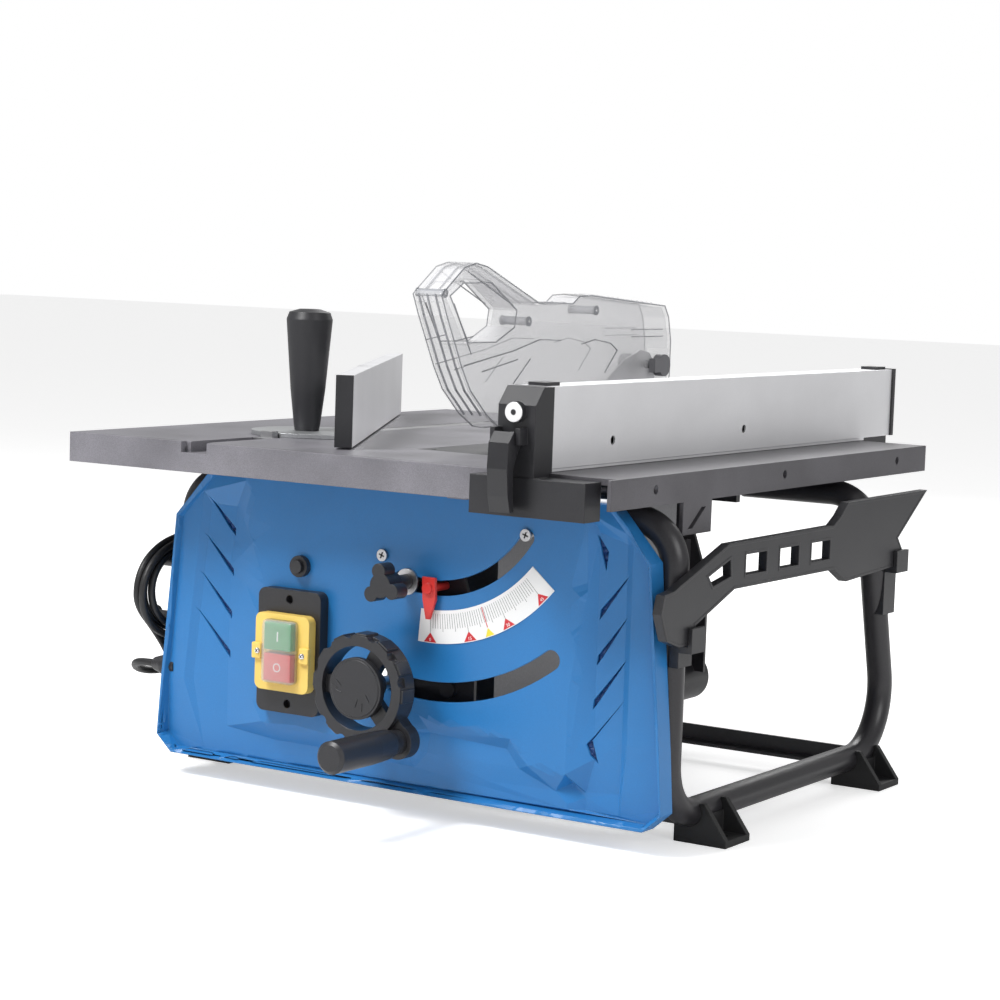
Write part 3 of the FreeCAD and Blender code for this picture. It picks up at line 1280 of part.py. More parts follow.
def stick_clip(name, y0, y1, low, top, lip_high):
    """A hook on a leg: saddle on the tube, a lip under the stick and an outer lip."""
    outer_x = S.stick_x + S.stick_thick + S.loose
    saddle = brick(S.stick_x - 11, S.stick_x - S.loose, y0, y1, low, top)
    under = brick(S.stick_x - S.loose, outer_x + 4, y0, y1, lip_high - 6, lip_high)
    lip = brick(outer_x, outer_x + 4, y0, y1, lip_high, lip_high + 16)
    body = saddle.fuse([under, lip]).cut(FRAME_TUBES[1])
    return made(name, max(body.Solids, key=lambda s: s.Volume).removeSplitter())


push_stick()
stick_clip("stick_clip_front", 84, 108, -166, -120, -146.4)
stick_clip("stick_clip_rear", 505, 532, -162, -112, -113.2)


# ---------------------------------------------------------------- checks and export

doc.recompute()
for item in doc.Objects:
    if "Invalid" in item.State or "Error" in item.State:
        raise RuntimeError(f"{item.Name} is {item.State}")
os.makedirs("parts", exist_ok=True)
for item in NODES:
    shape = item.Shape
    if shape.isNull() or not shape.isValid() or not shape.Solids:
        raise RuntimeError(f"{item.Label} has no valid shape")
    shape.exportStep(f"parts/{item.Label}.step")
    print(f"{item.Label}: {len(shape.Solids)} solids, {shape.Volume / 1000:.1f} cm3")
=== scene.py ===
# %% [markdown]
# # A bench table saw
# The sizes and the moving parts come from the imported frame. This file adds what a
# frame does not have: pressed facets, ribs, ticks, screws, the mains cord as one
# flexible line, and a finish for every surface.

# %% Load the frame
import json
import math
import bmesh
import bpy
from mathutils import Matrix, Vector
from mathutils.geometry import delaunay_2d_cdt


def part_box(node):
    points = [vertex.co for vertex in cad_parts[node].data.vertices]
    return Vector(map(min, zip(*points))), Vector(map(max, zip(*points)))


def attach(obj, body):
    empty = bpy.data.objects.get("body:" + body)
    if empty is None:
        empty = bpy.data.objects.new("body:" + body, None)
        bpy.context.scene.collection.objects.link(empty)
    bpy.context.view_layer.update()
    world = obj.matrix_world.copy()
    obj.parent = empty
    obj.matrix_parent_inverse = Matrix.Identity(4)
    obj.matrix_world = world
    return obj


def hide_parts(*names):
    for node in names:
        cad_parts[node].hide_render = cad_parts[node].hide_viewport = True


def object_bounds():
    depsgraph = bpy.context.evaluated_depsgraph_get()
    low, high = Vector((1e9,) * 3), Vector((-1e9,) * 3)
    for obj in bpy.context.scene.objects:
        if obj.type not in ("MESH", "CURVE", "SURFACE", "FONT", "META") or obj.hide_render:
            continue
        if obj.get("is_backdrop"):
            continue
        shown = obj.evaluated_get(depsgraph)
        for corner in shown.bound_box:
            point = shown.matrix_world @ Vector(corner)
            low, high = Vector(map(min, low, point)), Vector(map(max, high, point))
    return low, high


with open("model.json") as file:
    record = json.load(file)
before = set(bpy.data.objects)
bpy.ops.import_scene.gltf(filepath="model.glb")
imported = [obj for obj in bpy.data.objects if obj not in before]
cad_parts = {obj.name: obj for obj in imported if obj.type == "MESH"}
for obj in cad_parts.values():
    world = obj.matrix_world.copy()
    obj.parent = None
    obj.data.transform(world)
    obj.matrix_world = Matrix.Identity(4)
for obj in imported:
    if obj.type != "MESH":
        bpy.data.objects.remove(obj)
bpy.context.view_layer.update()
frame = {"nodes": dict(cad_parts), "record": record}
nodes = frame["nodes"]

# %% [markdown]
# Most sizes below are in millimetres from the front left corner of the table top,
# because a maker would measure from there. `at` turns them into the frame's metres.

# %% Measuring from the table's corner
table_low, table_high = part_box("table_top")
corner = Vector((table_low.x, table_low.y, table_high.z))


def at(x, y, z):
    return corner + Vector((x, y, z)) * 0.001


slot_of_node = {row["node"]: row["material_slot"] for row in frame["record"]["subparts"]}
print("table corner", [round(v, 4) for v in corner])

# %% [markdown]
# ## Camera
# The view is from the front right and a little above, with a long lens, so the
# table's edges stay almost parallel. The camera leans by two degrees.

# %% Camera
yaw, pitch, roll = math.radians(32.593), math.radians(5.530), math.radians(1.948)
forward = Vector((-math.sin(yaw) * math.cos(pitch), math.cos(yaw) * math.cos(pitch), -math.sin(pitch)))
level = Vector((math.cos(yaw), math.sin(yaw), 0.0))
upright = level.cross(forward)
side = level * math.cos(roll) + upright * math.sin(roll)
top = upright * math.cos(roll) - level * math.sin(roll)
eye = Vector((1.32657, -2.16979, 0.51610))
lens = bpy.data.cameras.new("camera")
lens.lens = 92.976
lens.sensor_width = 36.0
lens.clip_end = 60.0
camera = bpy.data.objects.new("camera", lens)
camera.matrix_world = Matrix((
    (side.x, top.x, -forward.x, eye.x),
    (side.y, top.y, -forward.y, eye.y),
    (side.z, top.z, -forward.z, eye.z),
    (0, 0, 0, 1)))
bpy.context.scene.collection.objects.link(camera)
bpy.context.scene.camera = camera
print("camera", camera.location[:])

# %% [markdown]
# ## Finishes
# Every finish is a small net of nodes. A noise varies the colour and the gloss by a
# little, a finer noise gives the grain as bump, and the Bevel node rounds sharp
# edges for the light alone. Object coordinates keep the grain at its true scale.

# %% A finish with grain
def finish(name, colour, rough, metal=0.0, grain=900.0, bump=0.12, depth=0.0002, vary=0.12,
           stretch=(1, 1, 1), patch=14.0, gloss_vary=0.12, edge=0.0006):
    material = bpy.data.materials.new(name)
    material.use_nodes = True
    net = material.node_tree
    shader = net.nodes["Principled BSDF"]
    shader.inputs["Metallic"].default_value = metal
    place = net.nodes.new("ShaderNodeTexCoord")
    turn = net.nodes.new("ShaderNodeMapping")
    turn.inputs["Scale"].default_value = stretch
    net.links.new(place.outputs["Object"], turn.inputs["Vector"])
    fine = net.nodes.new("ShaderNodeTexNoise")
    fine.inputs["Scale"].default_value = grain
    fine.inputs["Detail"].default_value = 4.0
    net.links.new(turn.outputs["Vector"], fine.inputs["Vector"])
    broad = net.nodes.new("ShaderNodeTexNoise")
    broad.inputs["Scale"].default_value = patch
    broad.inputs["Detail"].default_value = 5.0
    net.links.new(place.outputs["Object"], broad.inputs["Vector"])
    both = net.nodes.new("ShaderNodeMath")
    both.operation = "MULTIPLY"
    net.links.new(fine.outputs["Fac"], both.inputs[0])
    net.links.new(broad.outputs["Fac"], both.inputs[1])
    ramp = net.nodes.new("ShaderNodeValToRGB")
    ramp.color_ramp.elements[0].position = 0.12
    ramp.color_ramp.elements[1].position = 0.42
    ramp.color_ramp.elements[0].color = [c * (1 - vary) for c in colour] + [1]
    ramp.color_ramp.elements[1].color = [min(1.0, c * (1 + vary)) for c in colour] + [1]
    net.links.new(both.outputs[0], ramp.inputs["Fac"])
    net.links.new(ramp.outputs["Color"], shader.inputs["Base Color"])
    sheen = net.nodes.new("ShaderNodeMapRange")
    sheen.inputs["From Min"].default_value = 0.3
    sheen.inputs["From Max"].default_value = 0.7
    sheen.inputs["To Min"].default_value = max(0.02, rough * (1 - gloss_vary))
    sheen.inputs["To Max"].default_value = min(1.0, rough * (1 + gloss_vary))
    net.links.new(broad.outputs["Fac"], sheen.inputs["Value"])
    net.links.new(sheen.outputs["Result"], shader.inputs["Roughness"])
    relief = net.nodes.new("ShaderNodeBump")
    relief.inputs["Strength"].default_value = bump
    relief.inputs["Distance"].default_value = depth
    net.links.new(fine.outputs["Fac"], relief.inputs["Height"])
    if edge:
        rounding = net.nodes.new("ShaderNodeBevel")
        rounding.samples = 4
        rounding.inputs["Radius"].default_value = edge
        net.links.new(rounding.outputs["Normal"], relief.inputs["Normal"])
    net.links.new(relief.outputs["Normal"], shader.inputs["Normal"])
    return material


finishes = {
    "panel_blue": finish("panel_blue", (0.018, 0.165, 0.43), 0.36, vary=0.05, bump=0.05, edge=0.0012),
    "frame_black": finish("frame_black", (0.022, 0.021, 0.024), 0.33, vary=0.2, grain=700, bump=0.15),
    "table_dark": finish("table_dark", (0.185, 0.18, 0.20), 0.40, metal=0.2, grain=1500, bump=0.3, vary=0.3,
                         edge=0.0012),
    "insert_metal": finish("insert_metal", (0.05, 0.05, 0.055), 0.42, metal=0.4, grain=900, bump=0.2, vary=0.2),
    "black_plastic": finish("black_plastic", (0.020, 0.020, 0.023), 0.38, grain=1300, bump=0.25, vary=0.2, edge=0.001),
    "foot_rubber": finish("foot_rubber", (0.012, 0.012, 0.013), 0.6, grain=800, bump=0.3, vary=0.2, edge=0.0015),
    "steel": finish("steel", (0.52, 0.52, 0.53), 0.3, metal=1.0, grain=1200, bump=0.06, vary=0.08),
    "chrome": finish("chrome", (0.78, 0.78, 0.80), 0.12, metal=1.0, grain=300, bump=0.02, vary=0.04),
    "cast": finish("cast", (0.48, 0.49, 0.50), 0.42, metal=0.9, grain=500, bump=0.2, vary=0.12),
    "motor_iron": finish("motor_iron", (0.07, 0.07, 0.075), 0.45, metal=0.3, grain=500, bump=0.3, vary=0.2),
    "armature": finish("armature", (0.30, 0.16, 0.08), 0.38, metal=0.8, grain=600, bump=0.3, vary=0.3),
    "shroud_metal": finish("shroud_metal", (0.20, 0.20, 0.21), 0.38, metal=0.85, grain=500, bump=0.1, vary=0.12),
    "yellow_plastic": finish("yellow_plastic", (0.80, 0.56, 0.13), 0.36, vary=0.05, bump=0.08, edge=0.0012),
    "green_plastic": finish("green_plastic", (0.0, 0.26, 0.07), 0.28, vary=0.08, bump=0.05, edge=0.0012),
    "red_plastic": finish("red_plastic", (0.62, 0.035, 0.03), 0.32, vary=0.08, bump=0.05, edge=0.0012),
    "scale_plate": finish("scale_plate", (0.83, 0.83, 0.83), 0.4, vary=0.02, bump=0.03, edge=0.0),
    "fence_metal": finish("fence_metal", (0.84, 0.84, 0.86), 0.34, metal=0.45, grain=420, stretch=(30, 1.2, 30),
                          bump=0.06, vary=0.05, edge=0.0008),
    "belt_rubber": finish("belt_rubber", (0.012, 0.012, 0.012), 0.7, grain=600, bump=0.3),
    "cord_rubber": finish("cord_rubber", (0.012, 0.012, 0.013), 0.45, grain=900, bump=0.2, vary=0.2, edge=0.0),
    "brass": finish("brass", (0.62, 0.42, 0.13), 0.3, metal=1.0, grain=700, bump=0.1),
}
print("finishes", len(finishes))

# %% [markdown]
# Clear parts are thin moulded sheet. Seen square on they pass nearly all light. Seen edge on
# they are drawn dense, and their colour is darkened to grey there as painted shade. A slow noise gives the waves of
# the mould.

# %% Clear plastics
def clear(name, tint, rough, ior, wave, film):
    material = bpy.data.materials.new(name)
    material.use_nodes = True
    net = material.node_tree
    shader = net.nodes["Principled BSDF"]
    shader.inputs["IOR"].default_value = ior
    facing = net.nodes.new("ShaderNodeLayerWeight")
    facing.inputs["Blend"].default_value = 0.35
    body = net.nodes.new("ShaderNodeMapRange")
    body.inputs["To Min"].default_value = film[0]
    body.inputs["To Max"].default_value = film[1]
    net.links.new(facing.outputs["Facing"], body.inputs["Value"])
    net.links.new(body.outputs["Result"], shader.inputs["Alpha"])
    place = net.nodes.new("ShaderNodeTexCoord")
    waves = net.nodes.new("ShaderNodeTexNoise")
    waves.inputs["Scale"].default_value = 38.0
    net.links.new(place.outputs["Object"], waves.inputs["Vector"])
    shade = net.nodes.new("ShaderNodeValToRGB")
    shade.color_ramp.elements[0].color = [c * 0.96 for c in tint] + [1]
    shade.color_ramp.elements[1].color = list(tint) + [1]
    net.links.new(waves.outputs["Fac"], shade.inputs["Fac"])
    # painted shade: as the sheet turns edge on, its colour is mixed towards 45 % of the tint
    edge_shade = net.nodes.new("ShaderNodeMix")
    edge_shade.data_type = "RGBA"
    edge_shade.inputs["B"].default_value = (*[c * 0.45 for c in tint], 1)
    net.links.new(facing.outputs["Facing"], edge_shade.inputs["Factor"])
    net.links.new(shade.outputs["Color"], edge_shade.inputs["A"])
    net.links.new(edge_shade.outputs["Result"], shader.inputs["Base Color"])
    haze = net.nodes.new("ShaderNodeMapRange")
    haze.inputs["To Min"].default_value = rough * 0.6
    haze.inputs["To Max"].default_value = rough * 1.5
    net.links.new(waves.outputs["Fac"], haze.inputs["Value"])
    net.links.new(haze.outputs["Result"], shader.inputs["Roughness"])
    relief = net.nodes.new("ShaderNodeBump")
    relief.inputs["Strength"].default_value = wave
    relief.inputs["Distance"].default_value = 0.002
    net.links.new(waves.outputs["Fac"], relief.inputs["Height"])
    rounding = net.nodes.new("ShaderNodeBevel")
    rounding.samples = 4
    rounding.inputs["Radius"].default_value = 0.0015
    net.links.new(rounding.outputs["Normal"], relief.inputs["Normal"])
    net.links.new(relief.outputs["Normal"], shader.inputs["Normal"])
    return material


finishes["guard_clear"] = clear("guard_clear", (0.95, 0.95, 0.97), 0.07, 1.5, 0.2, (0.055, 0.72))
finishes["clear_plastic"] = clear("clear_plastic", (0.85, 0.85, 0.83), 0.08, 1.45, 0.10, (0.10, 0.55))

# %% Dress the frame's nodes
for name, thing in nodes.items():
    coat = finishes[slot_of_node[name]]
    if not thing.material_slots:
        thing.data.materials.append(coat)
    for place in thing.material_slots:
        place.material = coat
# Painted shade: the extension table gets a darker copy of the table's finish, as less light falls on it.
extension_shade_copy = finish("extension_painted_shade", (0.095, 0.092, 0.102), 0.40, metal=0.2, grain=1500, bump=0.3, vary=0.3,
                edge=0.0012)
for place in nodes["extension_table"].material_slots:
    place.material = extension_shade_copy
print("dressed", len(nodes), "nodes")

# %% [markdown]
# ## Making pieces
# A new piece is drawn as a bmesh, its faces are turned outwards, and it becomes an
# object at the origin that rides on one body of the saw.

# %% Helpers for pieces
def piece(name, shape, body, slot, sharp=30.0, bevel=0.0, steps=2, coat=None):
    bmesh.ops.recalc_face_normals(shape, faces=shape.faces)
    data = bpy.data.meshes.new(name)
    shape.to_mesh(data)
    shape.free()
    data.polygons.foreach_set("use_smooth", [True] * len(data.polygons))
    data.set_sharp_from_angle(angle=math.radians(sharp))
    made = bpy.data.objects.new(name, data)
    bpy.context.scene.collection.objects.link(made)
    data.materials.append(coat or finishes[slot])
    if bevel:
        rounded = made.modifiers.new("rounded", "BEVEL")
        rounded.width = bevel
        rounded.segments = steps
        rounded.limit_method = "ANGLE"
        rounded.angle_limit = math.radians(35)
        rounded.harden_normals = True
    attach(made, body)
    print(name, len(data.polygons), "faces")
    return made


def copied(node):
    """The frame's mesh of one node with its loose triangles joined."""
    shape = bmesh.new()
    shape.from_mesh(nodes[node].data)
    bmesh.ops.remove_doubles(shape, verts=shape.verts, dist=1e-6)
    return shape


def bolt(shape, centre, axis, radius, high, sides=24, tip=None):
    """Adds a round of a radius and a height, with its foot at centre."""
    turn = Vector((0, 0, 1)).rotation_difference(Vector(axis)).to_matrix().to_4x4()
    place = Matrix.Translation(Vector(centre) + Vector(axis).normalized() * (high / 2)) @ turn
    return bmesh.ops.create_cone(shape, cap_ends=True, segments=sides, radius1=radius,
                                 radius2=radius if tip is None else tip, depth=high, matrix=place)["verts"]


def slab(shape, low, high):
    """Adds a block between two corners."""
    low, high = Vector(low), Vector(high)
    size = Matrix.Diagonal((*(high - low), 1))
    return bmesh.ops.create_cube(shape, size=1.0, matrix=Matrix.Translation((low + high) / 2) @ size)["verts"]


# %% [markdown]
# ## Mains cord
# The cord is one flexible line: out of the strain relief, back round the leg, then
# wound on two pegs, with the plug hanging below. Its turns lie a little over a
# diameter apart in two layers, and all of them are points of the same smooth spline.
# A turn is fuller than an ellipse, and its slack changes from one turn to the next.

# %% Cord route
cord_thick = 0.0075
half_wide, half_high = 73.0, 42.4    # half the coil's length and height, in its inner layer
layer_step = 8.6                     # how far out the second layer lies
spread = 8.5                         # half the coil's width along its pegs
mouth = Vector((-0.292975, -0.2500, 0.1040))
steps_out = [(-18, 0, 0), (-17, 9, -5), (-12, 19, -9), (0, 27, -6), (18, 26, 6), (22, 18, 18), (-2, 6, 28)]
route = [mouth]
for step in steps_out:
    route.append(route[-1] + Vector(step) * 0.001)
coil_centre = Vector((-0.2940, -0.1925, 0.1750))
angle, last = -30.0, 1296.0
while angle < last:
    layer = min(1.0, max(0.0, (angle - 640.0) / 60.0))
    wide = half_wide + layer_step * layer
    high = half_high + layer_step * layer
    across = -spread + 2 * spread * (angle + 50) / 720 if angle < 670 else spread - spread * (angle - 670) / 360
    turn = math.radians(angle)
    rise = high * math.sin(turn) * (1 + 0.12 * math.cos(turn) ** 2)
    slack = 1.2 * math.sin(turn * 0.5 + 0.6)
    route.append(coil_centre + Vector((across, (wide + slack) * math.cos(turn), rise - slack)) * 0.001)
    angle += 22.5
for rest in [(-5, -53, -38), (-3, -31, -66), (-3, -21, -90)]:
    route.append(coil_centre + Vector(rest) * 0.001)

curve = bpy.data.curves.new("mains_cord", "CURVE")
curve.dimensions = "3D"
curve.resolution_u = 8
curve.bevel_depth = cord_thick / 2
curve.bevel_resolution = 4
curve.use_fill_caps = True
line = curve.splines.new("NURBS")
line.points.add(len(route) - 1)
for spot, where in zip(line.points, route):
    spot.co = (*where, 1.0)
line.order_u = 3
line.use_endpoint_u = True
curve.materials.append(finishes["cord_rubber"])
cord = bpy.data.objects.new("mains_cord", curve)
bpy.context.scene.collection.objects.link(cord)
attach(cord, "stand")
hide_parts("cord_lead", "cord_coil")
print("cord points", len(route))

# %% [markdown]
# The strain relief has rings that let the cord bend without a kink. Here they are
# short rounds down its taper.

# %% Strain relief rings
rings = bmesh.new()
for step in range(4):
    bolt(rings, mouth + Vector((0.0105 - step * 0.0028, 0, 0)), (-1, 0, 0), 0.0093 - step * 0.0009, 0.0015, 28)
piece("strain_relief_rings", rings, "stand", "black_plastic", bevel=0.0004)

# %% [markdown]
# ## Front panel
# The panel is a pressed sheet. Its middle field stands forward. The slotted bands at
# the sides, the corners and the foot lie back behind slopes, and a thin rim runs
# round the edge. The creases below hold a width, a height and a depth behind the
# field, in millimetres, and a triangulation through them is the relief of the sheet.

# %% Panel creases
middle = 342.5
rim = [(-205, -14), (205, -14), (261, -76), (276, -237), (280, -292), (262, -308),
       (-262, -308), (-280, -292), (-276, -237), (-261, -76)]
rim = [(middle + px, pz) for px, pz in rim]


def drawn_in(outline, gap):
    """The outline moved inwards by a gap, corner by corner."""
    moved = []
    for index, (x, z) in enumerate(outline):
        before = Vector(outline[index - 1]) - Vector((x, z))
        after = Vector(outline[(index + 1) % len(outline)]) - Vector((x, z))
        across = (before.normalized() + after.normalized()).normalized()
        half = before.angle(after) / 2
        moved.append((x + across.x * gap / math.sin(half), z + across.y * gap / math.sin(half)))
    return moved


press_gain = 1.7    # every depth is drawn this much stronger, so that the creases show in soft light


def border_depth(z):
    """How far the rim lies back at a height: 3 mm down the sides, growing to 7 mm at the foot."""
    return 3.0 + 4.0 * max(0.0, min(1.0, (-225 - z) / 60))


edge_high = [(x, z, 0.0) for x, z in drawn_in(rim, 3.0)]
edge_low = [(x, z, border_depth(z)) for x, z in drawn_in(rim, 5.0)]
left_band = [(149, -64, 5), (143, -121, 5), (142, -205, 5), (141, -276, 6), (100, -233, 5), (118, -63, 5)]
right_band = [(548, -54, 5), (549, -204, 5), (551, -252, 5), (577, -234, 5), (576, -62, 5)]
creases = [
    edge_high[1:] + edge_high[:1], edge_low[1:] + edge_low[:1],
    [(163, 20, 0), (165, -38, 0), (176, -95, 0), (184, -162, 0), (190, -264, 0), (355, -266, 0), (371, -238, 0),
     (468, -244, 0), (487, -266, 0), (526, -268, 0), (532, -160, 0), (541, -37, 0), (541, 20, 0)],
    left_band + left_band[:1], right_band + right_band[:1],
    [(165, -38, 0), (111, -52, 3), (91, -236, 3), (112, -300, 7), (141, -276, 6)],
    [(541, -37, 0), (583, -56, 3), (584, -236, 3), (575, -300, 7), (540, -300, 8)],
    [(577, -234, 5), (574, -281, 8), (540, -284, 8), (526, -268, 0)],
    [(141, -276, 6), (203, -282, 6), (268, -282, 6), (360, -286, 6), (440, -287, 5), (512, -286, 5)],
    [(512, -286, 5), (524, -296, 5), (524, -301, 5)], [(526, -278, 8), (540, -289, 8), (540, -300, 8)],
    [(378, -251, 4), (461, -255, 4), (474, -271, 4), (376, -270, 4), (378, -251, 4)],
]

# %% Relief from the creases
spots, ties = [], []
for crease in creases:
    for index, spot in enumerate(crease):
        if spot not in spots:
            spots.append(spot)
        if index:
            ties.append((spots.index(crease[index - 1]), spots.index(spot)))
flat, _, patches, origins, _, _ = delaunay_2d_cdt([Vector(spot[:2]) for spot in spots], ties, [], 0, 1e-4)
depths = [spots[old[0]][2] if old else min(spots, key=lambda s: (s[0] - new.x) ** 2 + (s[1] - new.y) ** 2)[2]
          for new, old in zip(flat, origins)]
print("panel creases", len(ties), "patches", len(patches))


def set_back(x, z):
    """How far the sheet lies behind its field at one place, in millimetres."""
    for a, b, c in patches:
        (ax, az), (bx, bz), (cx, cz) = flat[a], flat[b], flat[c]
        area = (bx - ax) * (cz - az) - (cx - ax) * (bz - az)
        if abs(area) < 1e-9:
            continue
        second = ((x - ax) * (cz - az) - (cx - ax) * (z - az)) / area
        third = ((bx - ax) * (z - az) - (x - ax) * (bz - az)) / area
        if min(second, third, 1 - second - third) > -1e-4:
            return press_gain * (depths[a] * (1 - second - third) + depths[b] * second + depths[c] * third)
    return 0.0


# %% Pressed sheet
sheet = copied("front_panel")
lines = set()
for patch in patches:
    for a, b in zip(patch, patch[1:] + patch[:1]):
        lines.add((min(a, b), max(a, b)))
for a, b in sorted(lines):
    if depths[a] or depths[b]:
        run = (flat[b] - flat[a]).normalized()
        bmesh.ops.bisect_plane(sheet, geom=sheet.verts[:] + sheet.edges[:] + sheet.faces[:], dist=1e-7,
                               plane_co=at(flat[a].x, 0, flat[a].y), plane_no=(-run.y, 0, run.x))
groove_depth = corner.y + 0.064    # the grooves' floors lie this far behind the table's front edge
flange_from = 66.0    # the sheet's turned edge begins here, in millimetres, and it isn't moved
floor = [face for face in sheet.faces
         if face.normal.y < -0.9 and abs(face.calc_center_median().y - groove_depth) < 0.0003]
groove = bmesh.new()
for face in floor:
    groove.faces.new([groove.verts.new(vert.co - Vector((0, 0.00012, 0))) for vert in face.verts])
for shape in (sheet, groove):
    for vert in shape.verts:
        local = (vert.co - corner) * 1000
        if local.y < flange_from:
            vert.co.y += set_back(local.x, local.z) * 0.001
shell = piece("panel_shell", sheet, "stand", "panel_blue", sharp=2)
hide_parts("front_panel")
# A thin dark blue sheet on the groove floors is painted shade for the depth of the grooves.
shadow_blue = finish("shadow_blue", (0.006, 0.04, 0.16), 0.5, vary=0.1, edge=0.0)
dark = piece("panel_groove_floors", groove, "stand", "panel_blue", coat=shadow_blue)
skin = dark.modifiers.new("skin", "SOLIDIFY")
skin.thickness = 0.0001
skin.offset = -1

# %% [markdown]
# ## Tilt scale
# A printed plate shows the blade's tilt. Each degree has a fine line, each fifth a
# longer one, and red flags carry the plain numbers. A yellow flag and a red line mark
# the half way point. The marks are thin leaves that stand about a tenth of a
# millimetre proud, so they stay crisp at any size.

# %% Scale marks
plate_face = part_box("tilt_scale")[0].y
pivot = at(380, 0, 0)
# Black ink for the printed marks; the same black is painted shade in the screws' cross recesses and slots.
ink_and_recess_shade = finish("scale_ink_and_recess_shade", (0.02, 0.02, 0.02), 0.5, edge=0.0)
flag_red = finish("flag_red", (0.60, 0.02, 0.03), 0.4, vary=0.05, edge=0.0)
flag_yellow = finish("flag_yellow", (0.80, 0.68, 0.05), 0.4, vary=0.05, edge=0.0)
tick_foot, flag_tip, flag_base = 0.1410, 0.1585, 0.1674    # how far each lies from the tilt's axis


def on_dial(radius, degrees, lift=0.0):
    turn = math.radians(degrees)
    return Vector((pivot.x + radius * math.sin(turn), plate_face - lift, pivot.z - radius * math.cos(turn)))


def leaf(shape, outline, thick=0.00008):
    face = shape.faces.new([shape.verts.new(point) for point in outline])
    grown = bmesh.ops.extrude_face_region(shape, geom=[face])["geom"]
    bmesh.ops.translate(shape, vec=(0, -thick, 0), verts=[g for g in grown if isinstance(g, bmesh.types.BMVert)])


marks = bmesh.new()
for degree in range(46):
    reach = 0.1600 if degree % 15 == 0 else 0.1572 if degree % 5 == 0 else 0.1545
    half = math.degrees(0.00016 / 0.148)
    leaf(marks, [on_dial(tick_foot, degree - half), on_dial(tick_foot, degree + half),
                 on_dial(reach, degree + half), on_dial(reach, degree - half)])
piece("scale_marks", marks, "stand", "scale_plate", coat=ink_and_recess_shade)
flags = bmesh.new()
for degree in (0, 15, 30, 45):
    leaf(flags, [on_dial(flag_tip, degree), on_dial(flag_base, degree + 2.3), on_dial(flag_base, degree - 2.3)])
piece("scale_flags", flags, "stand", "red_plastic", coat=flag_red)
bow = bmesh.new()
leaf(bow, [on_dial(0.1600, 22.5), on_dial(flag_base, 22.5 + 1.7), on_dial(flag_base, 22.5 - 1.7)])
piece("scale_half_mark", bow, "stand", "yellow_plastic", coat=flag_yellow)
half_line = bmesh.new()
leaf(half_line, [on_dial(0.1405, 22.35), on_dial(0.1405, 22.65), on_dial(0.1595, 22.65), on_dial(0.1595, 22.35)],
     0.00012)
piece("scale_half_line", half_line, "stand", "red_plastic", coat=flag_red)

# %% Scale numbers
for degree in (0, 15, 30, 45):
    words = bpy.data.curves.new(f"number_{degree}", "FONT")
    words.body = str(degree)
    words.size = 0.0042
    words.align_x = "CENTER"
    words.align_y = "CENTER"
    words.extrude = 0.00004
    sign = bpy.data.objects.new("sign", words)
    bpy.context.scene.collection.objects.link(sign)
    bpy.context.view_layer.update()
    data = bpy.data.meshes.new_from_object(sign)
    bpy.data.objects.remove(sign)
    place = Matrix.Translation(on_dial(0.1650, degree, 0.00014)) @ Matrix.Rotation(math.radians(-degree), 4, "Y")
    data.transform(place @ Matrix.Rotation(math.radians(90), 4, "X"))
    data.name = f"scale_number_{degree}"
    data.materials.clear()
    data.materials.append(finishes["scale_plate"])
    number = bpy.data.objects.new(f"scale_number_{degree}", data)
    bpy.context.scene.collection.objects.link(number)
    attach(number, "stand")
print("scale numbers", 4)

# %% [markdown]
# ## Screws
# Cross-head screws hold the panel. The head is a low dome with a cross recess, and the
# recess is drawn as two dark bars a hair above the dome: painted shade for the hollow.

# %% Cross recesses
recess = bmesh.new()
groups = []
for vert in nodes["panel_screws"].data.vertices:
    for group in groups:
        if (group[0] - vert.co).length < 0.03:
            group.append(vert.co.copy())
            break
    else:
        groups.append([vert.co.copy()])
screw_spots = []
for group in groups:
    low = Vector([min(v[i] for v in group) for i in range(3)])
    high = Vector([max(v[i] for v in group) for i in range(3)])
    screw_spots.append(Vector(((low.x + high.x) / 2, low.y, (low.z + high.z) / 2)))
for spot in screw_spots:
    for turn in (20, 110):
        blade = Matrix.Translation(spot + Vector((0, -0.00015, 0))) @ Matrix.Rotation(math.radians(turn), 4, "Y")
        bmesh.ops.create_cube(recess, size=1.0, matrix=blade @ Matrix.Diagonal((0.0058, 0.0005, 0.0012, 1)))
piece("screw_recesses", recess, "stand", "black_plastic", coat=ink_and_recess_shade)
print("panel screws", len(screw_spots))

# %% [markdown]
# ## Switch
# Two buttons sit in a yellow bezel under a soft clear cover that seals out dust.
# The bezel has a lug with a screw on each side, and the buttons carry the plain
# bar and ring signs for on and off.

# %% Bezel lugs and screws
bezel_low, bezel_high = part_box("switch_bezel")
switch_x = (bezel_low.x + bezel_high.x) / 2
switch_z = (bezel_low.z + bezel_high.z) / 2
lugs = bmesh.new()
lug_screws = bmesh.new()
lug_slots = bmesh.new()
for hand in (-1, 1):
    x = switch_x + hand * 0.0275
    slab(lugs, (x - 0.0055, bezel_low.y - 0.0035, switch_z - 0.0075),
         (x + 0.0055, bezel_low.y + 0.001, switch_z + 0.0075))
    bolt(lug_screws, (x - hand * 0.0018, bezel_low.y - 0.0033, switch_z), (0, -1, 0), 0.0032, 0.0018, 24, 0.0022)
    for turn in (35, 125):
        blade = (Matrix.Translation((x - hand * 0.0018, bezel_low.y - 0.0051, switch_z))
                 @ Matrix.Rotation(math.radians(turn), 4, "Y"))
        bmesh.ops.create_cube(lug_slots, size=1.0, matrix=blade @ Matrix.Diagonal((0.0034, 0.0004, 0.0007, 1)))
piece("bezel_lugs", lugs, "stand", "yellow_plastic", bevel=0.0012, steps=3)
piece("bezel_screws", lug_screws, "stand", "chrome", bevel=0.0004)
# The slots are dark bars a hair above the screw heads: painted shade for their recesses.
piece("bezel_screw_slots", lug_slots, "stand", "black_plastic", coat=ink_and_recess_shade)

